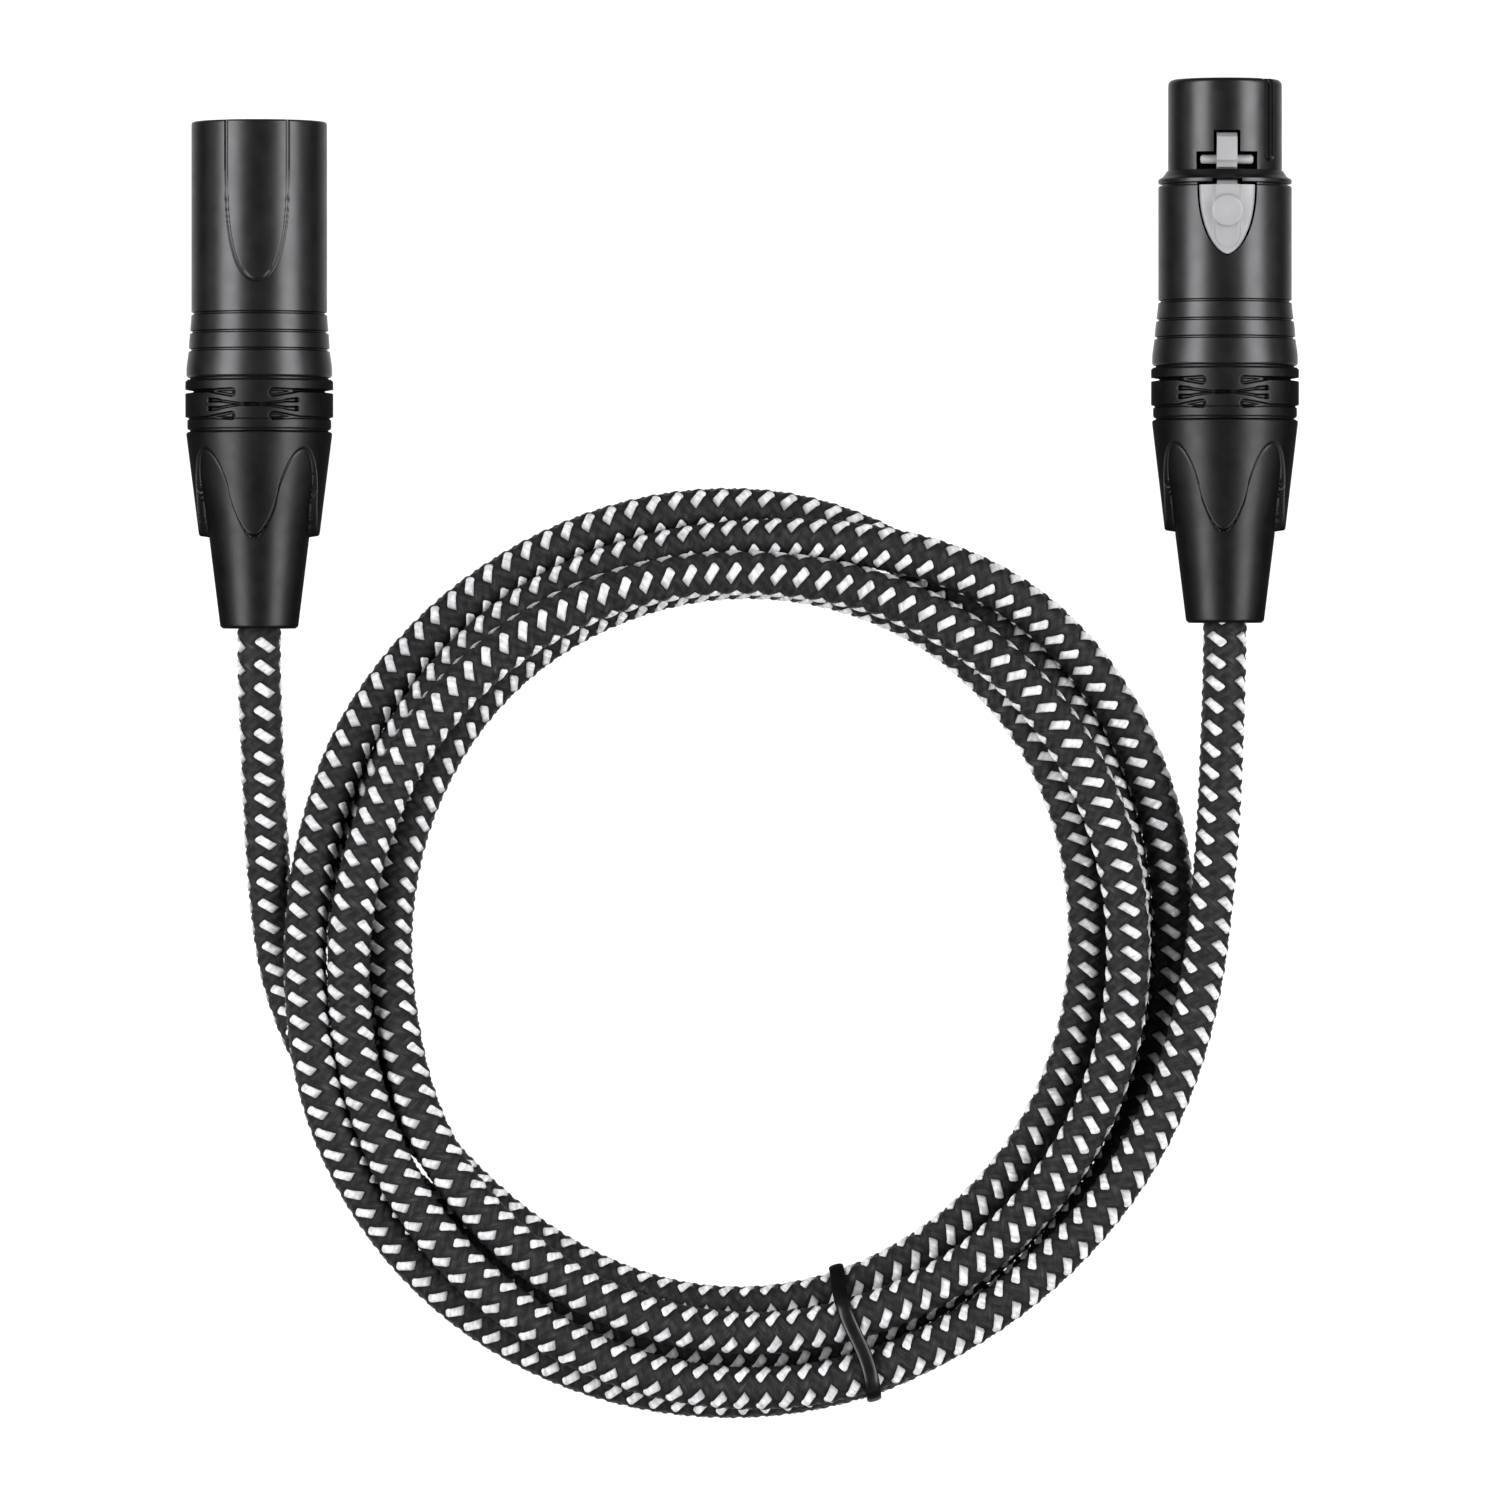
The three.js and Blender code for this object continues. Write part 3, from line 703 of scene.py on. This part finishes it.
def make_tracer(wrap):
    """The white yarns where they show, a closed pad over each pair of crossings."""
    x, y = pad_outline()
    rings = np.array(PAD_RINGS)[:, None]
    count = int(wrap.length / CROSSING_PITCH / REPEAT + 0.3)
    q = np.repeat(np.arange(count), TRACER_ROWS)
    column = np.tile(np.arange(TRACER_ROWS), count)
    a = (2.0 * (q + column))[:, None, None] + rings * x
    b = (2.0 * (q - column) + 0.5)[:, None, None] + rings * y
    height = PAD_RIM + PAD_CROWN * (1 - rings**2) - np.where(rings == 1, PAD_FOOT, 0.0)
    height = np.broadcast_to(height, a.shape)
    per_pad = rings.size * len(x)
    index = np.arange(per_pad).reshape(rings.size, len(x))
    quads = skin(index[:-1], index[1:])
    faces = []
    for base in range(0, len(q) * per_pad, per_pad):
        faces += (quads + base).tolist()
        faces += [(index[0][::-1] + base).tolist(), (index[-1] + base).tolist()]
    points = wrap.weave(a, b, height).reshape(-1, 3)
    tracer = make_object("cable_tracer", points, faces)
    # Painted shade: each white patch greys towards one end, where its yarn dives under.
    lit = smoothstep(*PAD_SHADE_TO_LIT, rings * y / PAD_HALF[1])
    crown = np.broadcast_to(PAD_SHADED_END + (1 - PAD_SHADED_END) * lit, a.shape)
    yarn_map(tracer.data, a.ravel(), b.ravel(), np.zeros(a.size, bool), crown.ravel())
    return tracer


# ---- tie

TIE_SWAY = 0.5  # the band wanders this far sideways across the turns
TIE_CLEAR = 0.12  # between the band and the cable
TIE_SPACING, TIE_SMOOTHINGS = 0.5, 6
TIE_SQUARENESS = 0.8  # 1 gives an oval section, less a fuller one


def hull(points):
    """Convex hull of points in a plane, anticlockwise."""
    points = sorted(map(tuple, points))
    line = []
    for sequence in (points, points[::-1]):
        chain = []
        for point in sequence:
            while len(chain) > 1:
                (ax, ay), (bx, by) = chain[-2], chain[-1]
                if (bx - ax) * (point[1] - ay) > (by - ay) * (point[0] - ax):
                    break
                chain.pop()
            chain.append(point)
        line += chain[:-1]
    return np.array(line)


def tie_line(wrap):
    """The band's middle line round the turns, as [outward distance, height]."""
    offset = wrap.route - COIL_CENTRE
    along = offset @ TIE_ALONG
    outward = offset @ TIE_OUTWARD
    crossing = np.nonzero((along[:-1] * along[1:] <= 0) & (outward[:-1] > 0))[0]
    reach = CABLE_R + TIE_CLEAR + TIE_THICKNESS / 2
    lowest = TIE_THICKNESS / 2
    around = [(outward[i] + reach * math.cos(t), max(wrap.route[i, 2] + reach * math.sin(t), lowest))
              for i in crossing for t in circle(48)]
    line = hull(around)
    line = even_line(np.concatenate([line, line[:1]]), TIE_SPACING)[:-1]
    for _ in range(TIE_SMOOTHINGS):
        line = (np.roll(line, 1, 0) + 2 * line + np.roll(line, -1, 0)) / 4
    line[:, 1] = np.maximum(line[:, 1], lowest)
    return line


def make_tie(wrap):
    """Rubber band round the turns, a rounded strip."""
    line = tie_line(wrap)
    tangent = np.roll(line, -1, 0) - np.roll(line, 1, 0)
    normal = unit(np.stack([tangent[:, 1], -tangent[:, 0]], axis=1))
    middle = (line.max(0) + line.min(0)) / 2
    half_span = np.ptp(line[:, 0]) / 2
    over = smoothstep(-2, 2, line[:, 1] - middle[1])
    sway = TIE_SWAY * np.sin(math.pi * (line[:, 0] - middle[0]) / half_span) * over
    angle = circle(20)
    halves = ((TIE_WIDTH / 2, np.cos(angle)), (TIE_THICKNESS / 2, np.sin(angle)))
    across, thick = (half * np.sign(f) * np.abs(f) ** TIE_SQUARENESS for half, f in halves)
    loops = []
    for place, out, shift in zip(line, normal, sway):
        rim = place + thick[:, None] * out
        loops.append(COIL_CENTRE + rim[:, :1] * TIE_OUTWARD + rim[:, 1:] * (0, 0, 1)
                     + (across[:, None] + shift) * TIE_ALONG)
    return loft("tie_band", loops, ring=True)


# ---- barrels

GROOVES_BEFORE_END = (8.95, 6.35, 3.85)
GROOVE_DEPTH = 0.34
GROOVE_WALL = (0.08, 0.22)  # a groove's wall climbs between these distances from its middle
END_BEVEL = (0.28, 0.22)  # length and depth of the rounding at a barrel's end
BORE_R, REAR_BORE_R = 8.15, 8.5
BARREL_R = {"male": 9.5, "female": 9.34}
FLARE_R = 9.84  # radius just behind the last groove
END_R = 10.2
KEY_ANGLE = math.radians(49)
COARSE_DEGREES = 2.0  # between a sleeve's corners where it is plain


def shell_radius(connector, s):
    """Outer radius of a barrel: plain, then three grooves and a flare towards its end."""
    end = connector.shell_end
    body = BARREL_R[connector.prefix]
    first, last = end - GROOVES_BEFORE_END[0], end - GROOVES_BEFORE_END[2]
    radius = body + (FLARE_R - body) * smoothstep(first - 0.4, last, s)
    radius = radius + (END_R - FLARE_R) * smoothstep(last - 0.6, last + 2.9, s)
    for before in GROOVES_BEFORE_END:
        wall = smoothstep(*GROOVE_WALL, np.abs(s - (end - before)))
        radius = radius - GROOVE_DEPTH * (1 - wall)
    length, depth = END_BEVEL
    return radius - depth * smoothstep(end - length, end, s)


def shell_line(connector, start, step):
    """A barrel's outline, with closer stations across each groove."""
    s = np.linspace(start, connector.shell_end, int((connector.shell_end - start) / step))
    middles = connector.shell_end - np.array(GROOVES_BEFORE_END)
    plain = s[np.abs(s[:, None] - middles).min(axis=1) > 0.3]
    across = middles[:, None] + np.linspace(-0.24, 0.24, 9)
    s = np.sort(np.concatenate([plain, across.ravel()]))
    return np.stack([s, shell_radius(connector, s)], axis=1)


U_HALF, U_STRAIGHT, U_LENGTH = 4.3, 6.0, 16.4
U_LINE_HALF, U_DEPTH = 0.24, 0.2


def u_line_relief(s, theta):
    """Engraved U open towards the rim: straight sides that close in a round bottom."""
    x = BARREL_R["male"] * np.sin(theta)
    t = np.clip((s - U_STRAIGHT) / U_LENGTH, 0, None)
    value = (x / U_HALF) ** 2 + t**3 - 1
    slope = np.hypot(2 * x / U_HALF**2, 3 * t**2 / U_LENGTH) + 1e-3
    on_top = (np.cos(theta) > 0) * smoothstep(0.0, 0.2, s)
    wall = smoothstep(U_LINE_HALF * 0.4, U_LINE_HALF * 1.15, np.abs(value / slope))
    return U_DEPTH * (1 - wall) * on_top


def make_key():
    """Rib inside the male barrel that the female keyway takes."""
    across, up = np.array([(-0.6, 7.0), (0.6, 7.0), (0.6, 8.4), (-0.6, 8.4)]).T
    x = across * math.cos(KEY_ANGLE) - up * math.sin(KEY_ANGLE)
    z = across * math.sin(KEY_ANGLE) + up * math.cos(KEY_ANGLE)
    return loft("part", [MALE.world(x, s, z) for s in (1.2, 14.3)])


def make_male_shell(step):
    rim = [(0.0, BORE_R + 0.15), (0.0, 9.15), (0.05, 9.32), (0.16, 9.44)]
    outside = np.concatenate([np.array(rim), shell_line(MALE, 0.3, step)])
    inside = [(0.15, BORE_R), (15.0, BORE_R), (15.0, REAR_BORE_R), (MALE.shell_end, REAR_BORE_R)]
    theta = angle_steps([(-32, 32)], 0.5, COARSE_DEGREES)
    shell = sleeve("male_barrel", MALE, outside, inside, theta, u_line_relief)
    combine(shell, "UNION", make_key())
    finish_piece(shell, "root", "black_shell", "male_shell")


# ---- grip ring and boot

RING_R = 10.35
PATTERN_TURN = math.radians(-3.6)  # ring and boot sit turned a little on each connector


def bead_distance(arc, s, start, end, r_start, r_end):
    """Distance outside a slot that widens evenly from one round end to the other."""
    (a0, s0), (a1, s1) = start, end
    length2 = (a1 - a0) ** 2 + (s1 - s0) ** 2
    t = np.clip(((arc - a0) * (a1 - a0) + (s - s0) * (s1 - s0)) / length2, 0, 1)
    return np.hypot(arc - a0 - t * (a1 - a0), s - s0 - t * (s1 - s0)) - (r_start + t * (r_end - r_start))


# Slots of a quarter of the ring: depth, then each end's place [round the ring, back from
# the ring's front] and the half width there. The drops end the two long slots.
RING_SLOTS = [
    (1.15, (6.4, 1.66), (30.0, 1.66), 0.17, 0.17),
    (0.5, (6.4, 5.45), (30.0, 5.45), 0.14, 0.14),
    (0.5, (2.95, 1.95), (7.2, 1.68), 0.56, 0.14),
    (0.5, (2.95, 5.2), (7.2, 5.42), 0.54, 0.12),
    (0.7, (0.0, 3.62), (1.0, 3.62), 0.2, 0.16),
    (0.35, (1.0, 3.62), (4.9, 3.14), 0.1, 0.14),
    (0.35, (1.0, 3.62), (4.9, 4.12), 0.1, 0.14),
    (0.8, (4.9, 3.1), (6.6, 3.02), 0.16, 0.26),
    (0.8, (4.9, 4.16), (6.6, 4.22), 0.16, 0.28),
]
ISLAND_DEPTH = 0.32  # the middle of a drop stands up again by this much


def ring_relief(s, theta):
    """The ring's slots, the same on its two halves and mirrored in each."""
    turn = np.mod(theta - PATTERN_TURN + math.pi / 2, math.pi) - math.pi / 2
    arc = np.abs(turn) * RING_R
    carved = 0.0
    for depth, start, end, r_start, r_end in RING_SLOTS:
        distance = bead_distance(arc, s, start, end, r_start, r_end)
        island = ISLAND_DEPTH * smoothstep(0.24, 0.4, -distance)
        carved = np.maximum(carved, depth * (1 - smoothstep(-0.1, 0.12, distance)) - island)
    return carved


LIP, LIP_R = 0.22, 9.7  # a lower lip at each end of the ring darkens the joint there
RING_BORE_R = 9.1


def make_grip_ring(connector, step):
    start, end = connector.ring
    length = end - start
    s = np.linspace(0.0, length, int(length / step))
    narrow = 0.28 * smoothstep(5.5, 5.7, s)
    edges = 0.25 * (1 - smoothstep(0, 0.3, s)) + 0.15 * smoothstep(length - 0.25, length, s)
    body = np.stack([start + s, RING_R - narrow - edges], axis=1)
    front = [(start - LIP, LIP_R), (start - 0.01, LIP_R)]
    back = [(end + 0.01, LIP_R), (end + LIP, LIP_R)]
    outside = np.concatenate([front, body, back])
    inside = [(start - LIP, RING_BORE_R), (end + LIP, RING_BORE_R)]
    theta = angle_steps([(-52, 44), (-180, -136), (128, 180)], 0.45, 1.5)
    ring = sleeve(connector.prefix + "_grip_sleeve", connector, outside, inside, theta,
                  lambda s, theta: ring_relief(s - start, theta))
    finish_piece(ring, "root", "grip_ring", connector.prefix + "_grip_ring")


# Lengths before the boot's end: arches' tops, tongues' tips and the shoulder.
ARCH_TOP, TONGUE_TIP, SHOULDER = 25.1, 12.9, 13.5
BOOT_FRONT_R, SHOULDER_R, BOOT_END_R = 10.26, 8.5, 5.43
UNDER_RADII = [9.95, 9.72, 7.04, BOOT_END_R]  # under the arches: front, tops, shoulder, end
BOOT_BORE_R, BOOT_BORE_LENGTH = 6.5, 9
ARCH_POWER = 0.72  # 1 gives sine waves, less gives rounder arches


def boot_cone(connector, s, under):
    """Radius of the boot's outer cone, or of the cone that its arches uncover."""
    front, end = connector.boot
    shoulder = end - SHOULDER
    if under:
        places = [front, end - ARCH_TOP, shoulder + 0.5, end]
        return np.interp(s, places, UNDER_RADII)
    return np.interp(s, [front, shoulder, end], [BOOT_FRONT_R, SHOULDER_R, BOOT_END_R + 1])


def boot_relief(connector, s, theta):
    """Leaves four tongues standing between arches, with a fine line round them."""
    middle = connector.boot[1] - (ARCH_TOP + TONGUE_TIP) / 2
    reach = (ARCH_TOP - TONGUE_TIP) / 2
    phase = 4 * (theta - PATTERN_TURN)
    wave = np.cos(phase)
    edge = middle + reach * np.sign(wave) * np.abs(wave) ** ARCH_POWER
    steepness = np.abs(np.sin(phase)) * np.maximum(np.abs(wave), 0.05) ** (ARCH_POWER - 1)
    slope = 4 * reach * ARCH_POWER * steepness / ((BOOT_FRONT_R + SHOULDER_R) / 2)
    distance = (s - edge) / np.hypot(1, slope)
    uncovered = smoothstep(-0.08, 0.2, distance)
    step_down = boot_cone(connector, s, False) - boot_cone(connector, s, True)
    line = 0.16 * np.exp(-((distance - 0.12) / 0.16) ** 2)
    return np.clip(step_down, 0.1, None) * uncovered + line


def make_boot(connector, step):
    front, end = connector.boot
    s = np.linspace(front, end, int((end - front) / step))
    front_rounding = 0.3 * (1 - smoothstep(0, 0.35, s - front)) ** 2
    end_rounding = 0.35 * smoothstep(end - 0.45, end, s) ** 2
    radius = boot_cone(connector, s, False) - (front_rounding + end_rounding)
    outside = np.stack([s, radius], axis=1)
    bore_end = front + BOOT_BORE_LENGTH
    cable_bore = CABLE_R + 0.3
    inside = [(front, BOOT_BORE_R), (bore_end, BOOT_BORE_R), (bore_end, cable_bore), (end, cable_bore)]
    theta = np.radians(np.arange(-180, 180, 0.75))
    boot = sleeve(connector.prefix + "_relief", connector, outside, inside, theta,
                  lambda s, theta: boot_relief(connector, s, theta))
    finish_piece(boot, "root", "boot_rubber", connector.prefix + "_boot")


# ---- female nose and shell

NOSE_R, NOSE_BORE_R, FILLET_R = 7.97, 7.1, 0.8
SPIGOT_R, SPIGOT_END = 8.2, 21.0
COLLAR_END, KEYWAY_END = 14.6, 11.7


def keyway_relief(s, theta):
    """Groove for the mating key: a wide shallow trough with a narrower slot in it."""
    arc = (theta - KEY_ANGLE) * NOSE_R
    along = (1 - smoothstep(KEYWAY_END - 0.6, KEYWAY_END, s + 0.5 * arc**2)) * (s < COLLAR_END)
    trough = 0.3 * (1 - smoothstep(0.9, 1.08, np.abs(arc)))
    slot = 0.32 * (1 - smoothstep(0.42, 0.58, np.abs(arc)))
    return (trough + slot) * along


def make_nose(step):
    """Front sleeve with its collar, the spigot behind it and the T window for the latch."""
    fillet = [(FILLET_R * (1 - math.cos(t)), NOSE_R - FILLET_R * (1 - math.sin(t)))
              for t in np.linspace(0.12, math.pi / 2, 8)]
    straight = even_line([(0.85, NOSE_R), (12.75, NOSE_R)], step)
    collar = [(12.8, 8.15), (13.5, 8.6), (13.62, 8.72), (13.95, 9.26), (14.05, 9.34), (14.5, 9.34),
              (COLLAR_END, 9.24)]
    outside = np.concatenate([[(0.0, NOSE_BORE_R + 0.1)], fillet, straight, collar])
    inside = [(0.1, NOSE_BORE_R), (SPIGOT_END, NOSE_BORE_R), (SPIGOT_END, SPIGOT_R), (COLLAR_END, SPIGOT_R)]
    theta = angle_steps([(36, 64)], 0.5, COARSE_DEGREES)
    nose = sleeve("female_front", FEMALE, outside, inside, theta, keyway_relief)
    window = prism([(-1.85, 7.35), (1.85, 7.35), (1.85, 10.3), (4.25, 10.3), (4.25, 12.75),
                    (-4.25, 12.75), (-4.25, 10.3), (-1.85, 10.3)], 4, 9)
    arm_notch = block((-2.1, 2.1), (14.1, SPIGOT_END + 1), (5, 12))
    spigot_cut = block((-4.5, 4.5), (COLLAR_END + 0.01, SPIGOT_END + 1), (4, 9))
    combine(nose, "DIFFERENCE", window, arm_notch, spigot_cut)
    finish_piece(nose, "root", "black_shell", "female_nose")


PLATE_FRONT, PLATE_TIP = 15.0, 24.7
PLATE_HALF, PLATE_R = 3.87, 9.3
PLATE_GAP = 0.3


def plate_half_width(s):
    """The latch plate narrows to a round tip."""
    t = np.clip((s - PLATE_FRONT) / (PLATE_TIP - PLATE_FRONT), 0, 0.9995)
    return PLATE_HALF * (1 - t**2.2) ** 0.6


def plate_stations(start, count):
    """Places along the plate, evenly at first, then closer and closer towards its tip."""
    middle = 20
    towards_tip = PLATE_TIP - (PLATE_TIP - middle) * np.linspace(1, 0.02, count) ** 2
    return np.concatenate([np.linspace(start, middle, count)[:-1], towards_tip])


def make_female_shell(step):
    start = COLLAR_END + PLATE_GAP
    front = [(start - LIP, 8.8), (start - 0.01, 8.8), (start, 9.2)]
    outside = np.concatenate([front, shell_line(FEMALE, start + 0.2, step)])
    inside = [(start - LIP, REAR_BORE_R), (FEMALE.shell_end, REAR_BORE_R)]
    theta = angle_steps([(-30, 30)], 1.2, COARSE_DEGREES)
    shell = sleeve("female_barrel", FEMALE, outside, inside, theta)
    s = plate_stations(PLATE_FRONT - 1, 24)
    half = plate_half_width(s) + PLATE_GAP
    side = list(zip(half, s))
    outline = [(-w, at) for w, at in side] + [(0.0, PLATE_TIP + PLATE_GAP)] + side[::-1]
    combine(shell, "DIFFERENCE", prism(outline, 5, 12))
    finish_piece(shell, "root", "black_shell", "female_shell")


# ---- latch

RIDGE_HALF, RIDGE_TOP = 1.9, 9.62
BUTTON_S, BUTTON_R, BUTTON_TOP = 18.65, 2.2, 10.1
PIVOT_S, PIVOT_Z, PIVOT_EYE_R = 26.5, 5.9, 0.8
CROSSBAR_S, CROSSBAR_Z, CROSSBAR_R = 11.4, 6.6, 0.62


def latch_top(x, s, half_width):
    """Height of the latch's upper side: crowned plate, raised ridge and soft outer edges."""
    crown = np.sqrt(PLATE_R**2 - x**2)
    ridge_half = np.minimum(RIDGE_HALF, half_width - 0.55)
    side_fade = 1 - smoothstep(ridge_half - 0.35, ridge_half + 0.08, np.abs(x))
    tip_fade = 1 - smoothstep(23.2, 24.2, s)
    raised = np.clip(RIDGE_TOP - 0.02 * x**2 - crown, 0, None)
    edge_drop = 0.22 * smoothstep(half_width - 0.3, half_width, np.abs(x)) ** 2
    return crown + raised * side_fade * tip_fade - edge_drop


def make_latch():
    """Latch lever: plate with ridge, tongue in front, crossbar, and the arm to the hinge pin."""
    s = plate_stations(PLATE_FRONT, 30)[:, None]
    half = plate_half_width(s)
    x = half * np.linspace(-1, 1, 49)
    top = FEMALE.world(x, s, latch_top(x, s, half))
    under = FEMALE.world(x[:, ::-1], s, np.sqrt(BORE_R**2 - x[:, ::-1] ** 2))
    plate = loft("latch_lever", np.concatenate([top, under], axis=1))
    tongue = side_bar([
        (7.65, 5.8), (7.65, 7.25), (7.9, 7.7), (8.3, 8.42), (8.45, 8.5), (11.5, 8.5), (11.65, 8.4),
        (11.65, 7.62), (12.5, 7.58), (12.5, 6.8), (14.2, 6.8), (14.35, 8.3), (14.5, 8.45),
        (15.5, 8.7), (17, 8.0), (17, 7.2), (15.6, 5.8)], 1.42)
    back_arm = side_bar([
        (21.5, 8.05), (24.4, 8.05), (27.2, 6.7), (27.6, 5.9), (27.2, 5.0), (26.5, 4.7),
        (25.8, 5.0), (24.2, 6.7), (21.5, 7.1)], 2.35)
    crossbar = cross_rod(CROSSBAR_R, 3.7, CROSSBAR_S, CROSSBAR_Z)
    combine(plate, "UNION", tongue, back_arm, crossbar)
    combine(plate, "DIFFERENCE", cross_rod(PIVOT_EYE_R, 4, PIVOT_S, PIVOT_Z))
    finish_piece(plate, "latch", "latch_nickel", "female_latch")


def make_button():
    """Round push button standing on the ridge, with a softened rim."""
    theta = circle(72)
    r, top = BUTTON_R, BUTTON_TOP
    rings = [(r, 9.0), (r, top - 0.16), (r - 0.05, top - 0.06), (r - 0.14, top),
             (r - 0.5, top + 0.02), (0.3, top + 0.04)]
    loops = [FEMALE.world(r * np.sin(theta), BUTTON_S + r * np.cos(theta), z) for r, z in rings]
    button = loft("latch_button", loops, smooth_below=35)
    finish_piece(button, "latch", "latch_nickel")


# ---- inserts and contacts

CONTACT_CIRCLE_R = 4.05
LEFT, RIGHT, BOTTOM = (-CONTACT_CIRCLE_R, 0.0), (CONTACT_CIRCLE_R, 0.0), (0.0, -CONTACT_CIRCLE_R)
PIN_R, SOCKET_R, SPRING_WELL_R = 1.2, 1.6, 1.6
PIN_FRONT = 1.6
CONTACT_SIDES, INSERT_SIDES = 32, 96
HOLE_GAP = 0.3


def contact_holes(connector, radius, s_from, s_to):
    section = [(s_from, radius), (s_to, radius)]
    return [turned("part", connector, section, CONTACT_SIDES, *at) for at in (LEFT, RIGHT, BOTTOM)]


def make_contacts(connector, node, section, places):
    for number, place in enumerate(places, 1):
        name = f"{connector.prefix}_contact_{number}"
        contact = turned(name, connector, section, CONTACT_SIDES, *place)
        finish_piece(contact, "root", "contact_plating", f"{node}_{number}")


def make_pins():
    """Turned pins with a round nose and a solder cup behind."""
    nose = [(PIN_FRONT + PIN_R * (1 - math.cos(t)), PIN_R * math.sin(t))
            for t in np.linspace(0.15, math.pi / 2, 8)]
    section = [*nose, (22, PIN_R), (22, 0.8), (20.4, 0.8)]
    make_contacts(MALE, "male_pin", section, (RIGHT, LEFT, BOTTOM))


def make_sockets():
    """Sleeve contacts, bored for the pins, with a solder cup behind."""
    bore = PIN_R + 0.05
    section = [(16, bore), (1.3, bore), (1.2, bore + 0.08), (1.2, 1.5), (1.3, SOCKET_R),
               (25, SOCKET_R), (25, 1.0), (23.2, 1.0)]
    make_contacts(FEMALE, "female_socket", section, (LEFT, RIGHT, BOTTOM))


def make_male_insert():
    section = [(14.6, 7.6), (14.75, 7.85), (15.3, 7.85), (15.3, 8.2), (20, 8.2)]
    insert = turned("male_carrier", MALE, section, INSERT_SIDES)
    combine(insert, "DIFFERENCE", *contact_holes(MALE, PIN_R + HOLE_GAP, 14, 21))
    finish_piece(insert, "root", "black_plastic", "male_insert")


def make_female_insert():
    """Contact carrier with the wells for the latch and the ears that hold its pin."""
    section = [(0.4, 6.5), (0.55, 6.75), (0.8, 6.8), (22, 6.8)]
    insert = turned("female_carrier", FEMALE, section, INSERT_SIDES)
    ears = [block(sides, (21.4, 27.9), (4.3, 7.0)) for sides in ((-3.9, -2.8), (2.8, 3.9))]
    combine(insert, "UNION", *ears)
    spring_well = [(SPRING_WELL_R * math.cos(t), BUTTON_S + SPRING_WELL_R * math.sin(t)) for t in circle(40)]
    wells = [block(*ranges) for ranges in (
        ((-1.8, 1.8), (7.2, 16.6), (3.9, 9)), ((-4.1, 4.1), (10.2, 12.8), (4.3, 9.1)),
        ((-4.7, 4.7), (14, 21.4), (5.4, 9.2)), ((-2.7, 2.7), (21.3, 23), (5.2, 9.3)))]
    combine(insert, "DIFFERENCE", *contact_holes(FEMALE, SOCKET_R + HOLE_GAP, 0, 23), *wells,
            prism(spring_well, 2.2, 9.4), cross_rod(PIVOT_EYE_R, 6, PIVOT_S, PIVOT_Z))
    finish_piece(insert, "root", "black_plastic", "female_insert")


# ---- studio

LIGHT_DISTANCE = 1.4  # metres
LIGHT_LEAN = math.radians(51)  # each softbox's middle stands this far from straight up
LIGHT_SIZE = (2.6, 0.75)  # metres along the connectors, and across them
LIGHT_POWER = 48
ROOM, GLOW = 0.05, 1.5  # brightness of the room, and of the glow from below
# Heights of a view direction between which the glow sets in, and the white horizon ends.
GLOW_FADE, HORIZON_FADE = (-0.5, -0.8), (0.03, 0.06)
FLOOR_HALF = 30000


def add_softbox(name, place, target):
    light = bpy.data.lights.new(name, "AREA")
    light.shape = "RECTANGLE"
    light.size, light.size_y = LIGHT_SIZE
    light.energy = LIGHT_POWER
    lamp = add_object(name, light)
    lamp.location = place
    lamp.rotation_euler = (Vector(target) - Vector(place)).to_track_quat("-Z", "Y").to_euler()


def make_world():
    """Dim room, white along the horizon, with a pale glow straight below that edges the blacks."""
    world = bpy.data.worlds.new("studio")
    bpy.context.scene.world = world
    world.use_nodes = True
    nodes = Nodes(world.node_tree)
    direction = nodes.add("TexCoord").outputs["Generated"]
    height = nodes.add("SeparateXYZ", direction, "Vector").outputs["Z"]
    glow = nodes.spread(height, *GLOW_FADE, ROOM, GLOW)
    horizon = nodes.spread(nodes.math("ABSOLUTE", height), *HORIZON_FADE, 1, 0)
    background = nodes.tree.nodes["Background"]
    set_inputs(background, Color=(1, 1, 1, 1))
    nodes.tree.links.new(nodes.math("ADD", glow, horizon), background.inputs["Strength"])


def make_studio():
    """World, two softboxes and a floor that glossy parts don't mirror."""
    make_world()
    middle = (0, COIL_Y / 2 * MM, 0)
    for number, side in enumerate((-1, 1), 1):
        sideways = side * LIGHT_DISTANCE * math.sin(LIGHT_LEAN)
        place = (sideways, middle[1], LIGHT_DISTANCE * math.cos(LIGHT_LEAN))
        add_softbox(f"softbox_{number}", place, middle)
    corners = [(x * FLOOR_HALF, y * FLOOR_HALF, 0) for x, y in ((-1, -1), (1, -1), (1, 1), (-1, 1))]
    floor = make_object("floor", corners, [(0, 1, 2, 3)])
    paint(floor, "floor")
    floor.visible_glossy = False
    bpy.context.scene.view_settings.view_transform = "Standard"


# ---- scene

make_camera()
paint_cad_nodes()

wrap = Wrap(make_route())
cable = make_braid(wrap)
tracer = make_tracer(wrap)
tie = make_tie(wrap)
finish_piece(cable, "root", "cable_braid", "cable_coil", "cable_tail_male", "cable_tail_female")
finish_piece(tracer, "root", "cable_braid", finish="cable_tracer")
finish_piece(tie, "root", "tie_rubber", "coil_tie")

STEP = 0.18  # between the stations along a sleeve
make_male_shell(0.7 * STEP)
make_nose(STEP)
make_female_shell(STEP)
for connector in (MALE, FEMALE):
    make_grip_ring(connector, 0.4 * STEP)
    make_boot(connector, STEP)
make_latch()
make_button()
make_pins()
make_sockets()
make_male_insert()
make_female_insert()

make_studio()
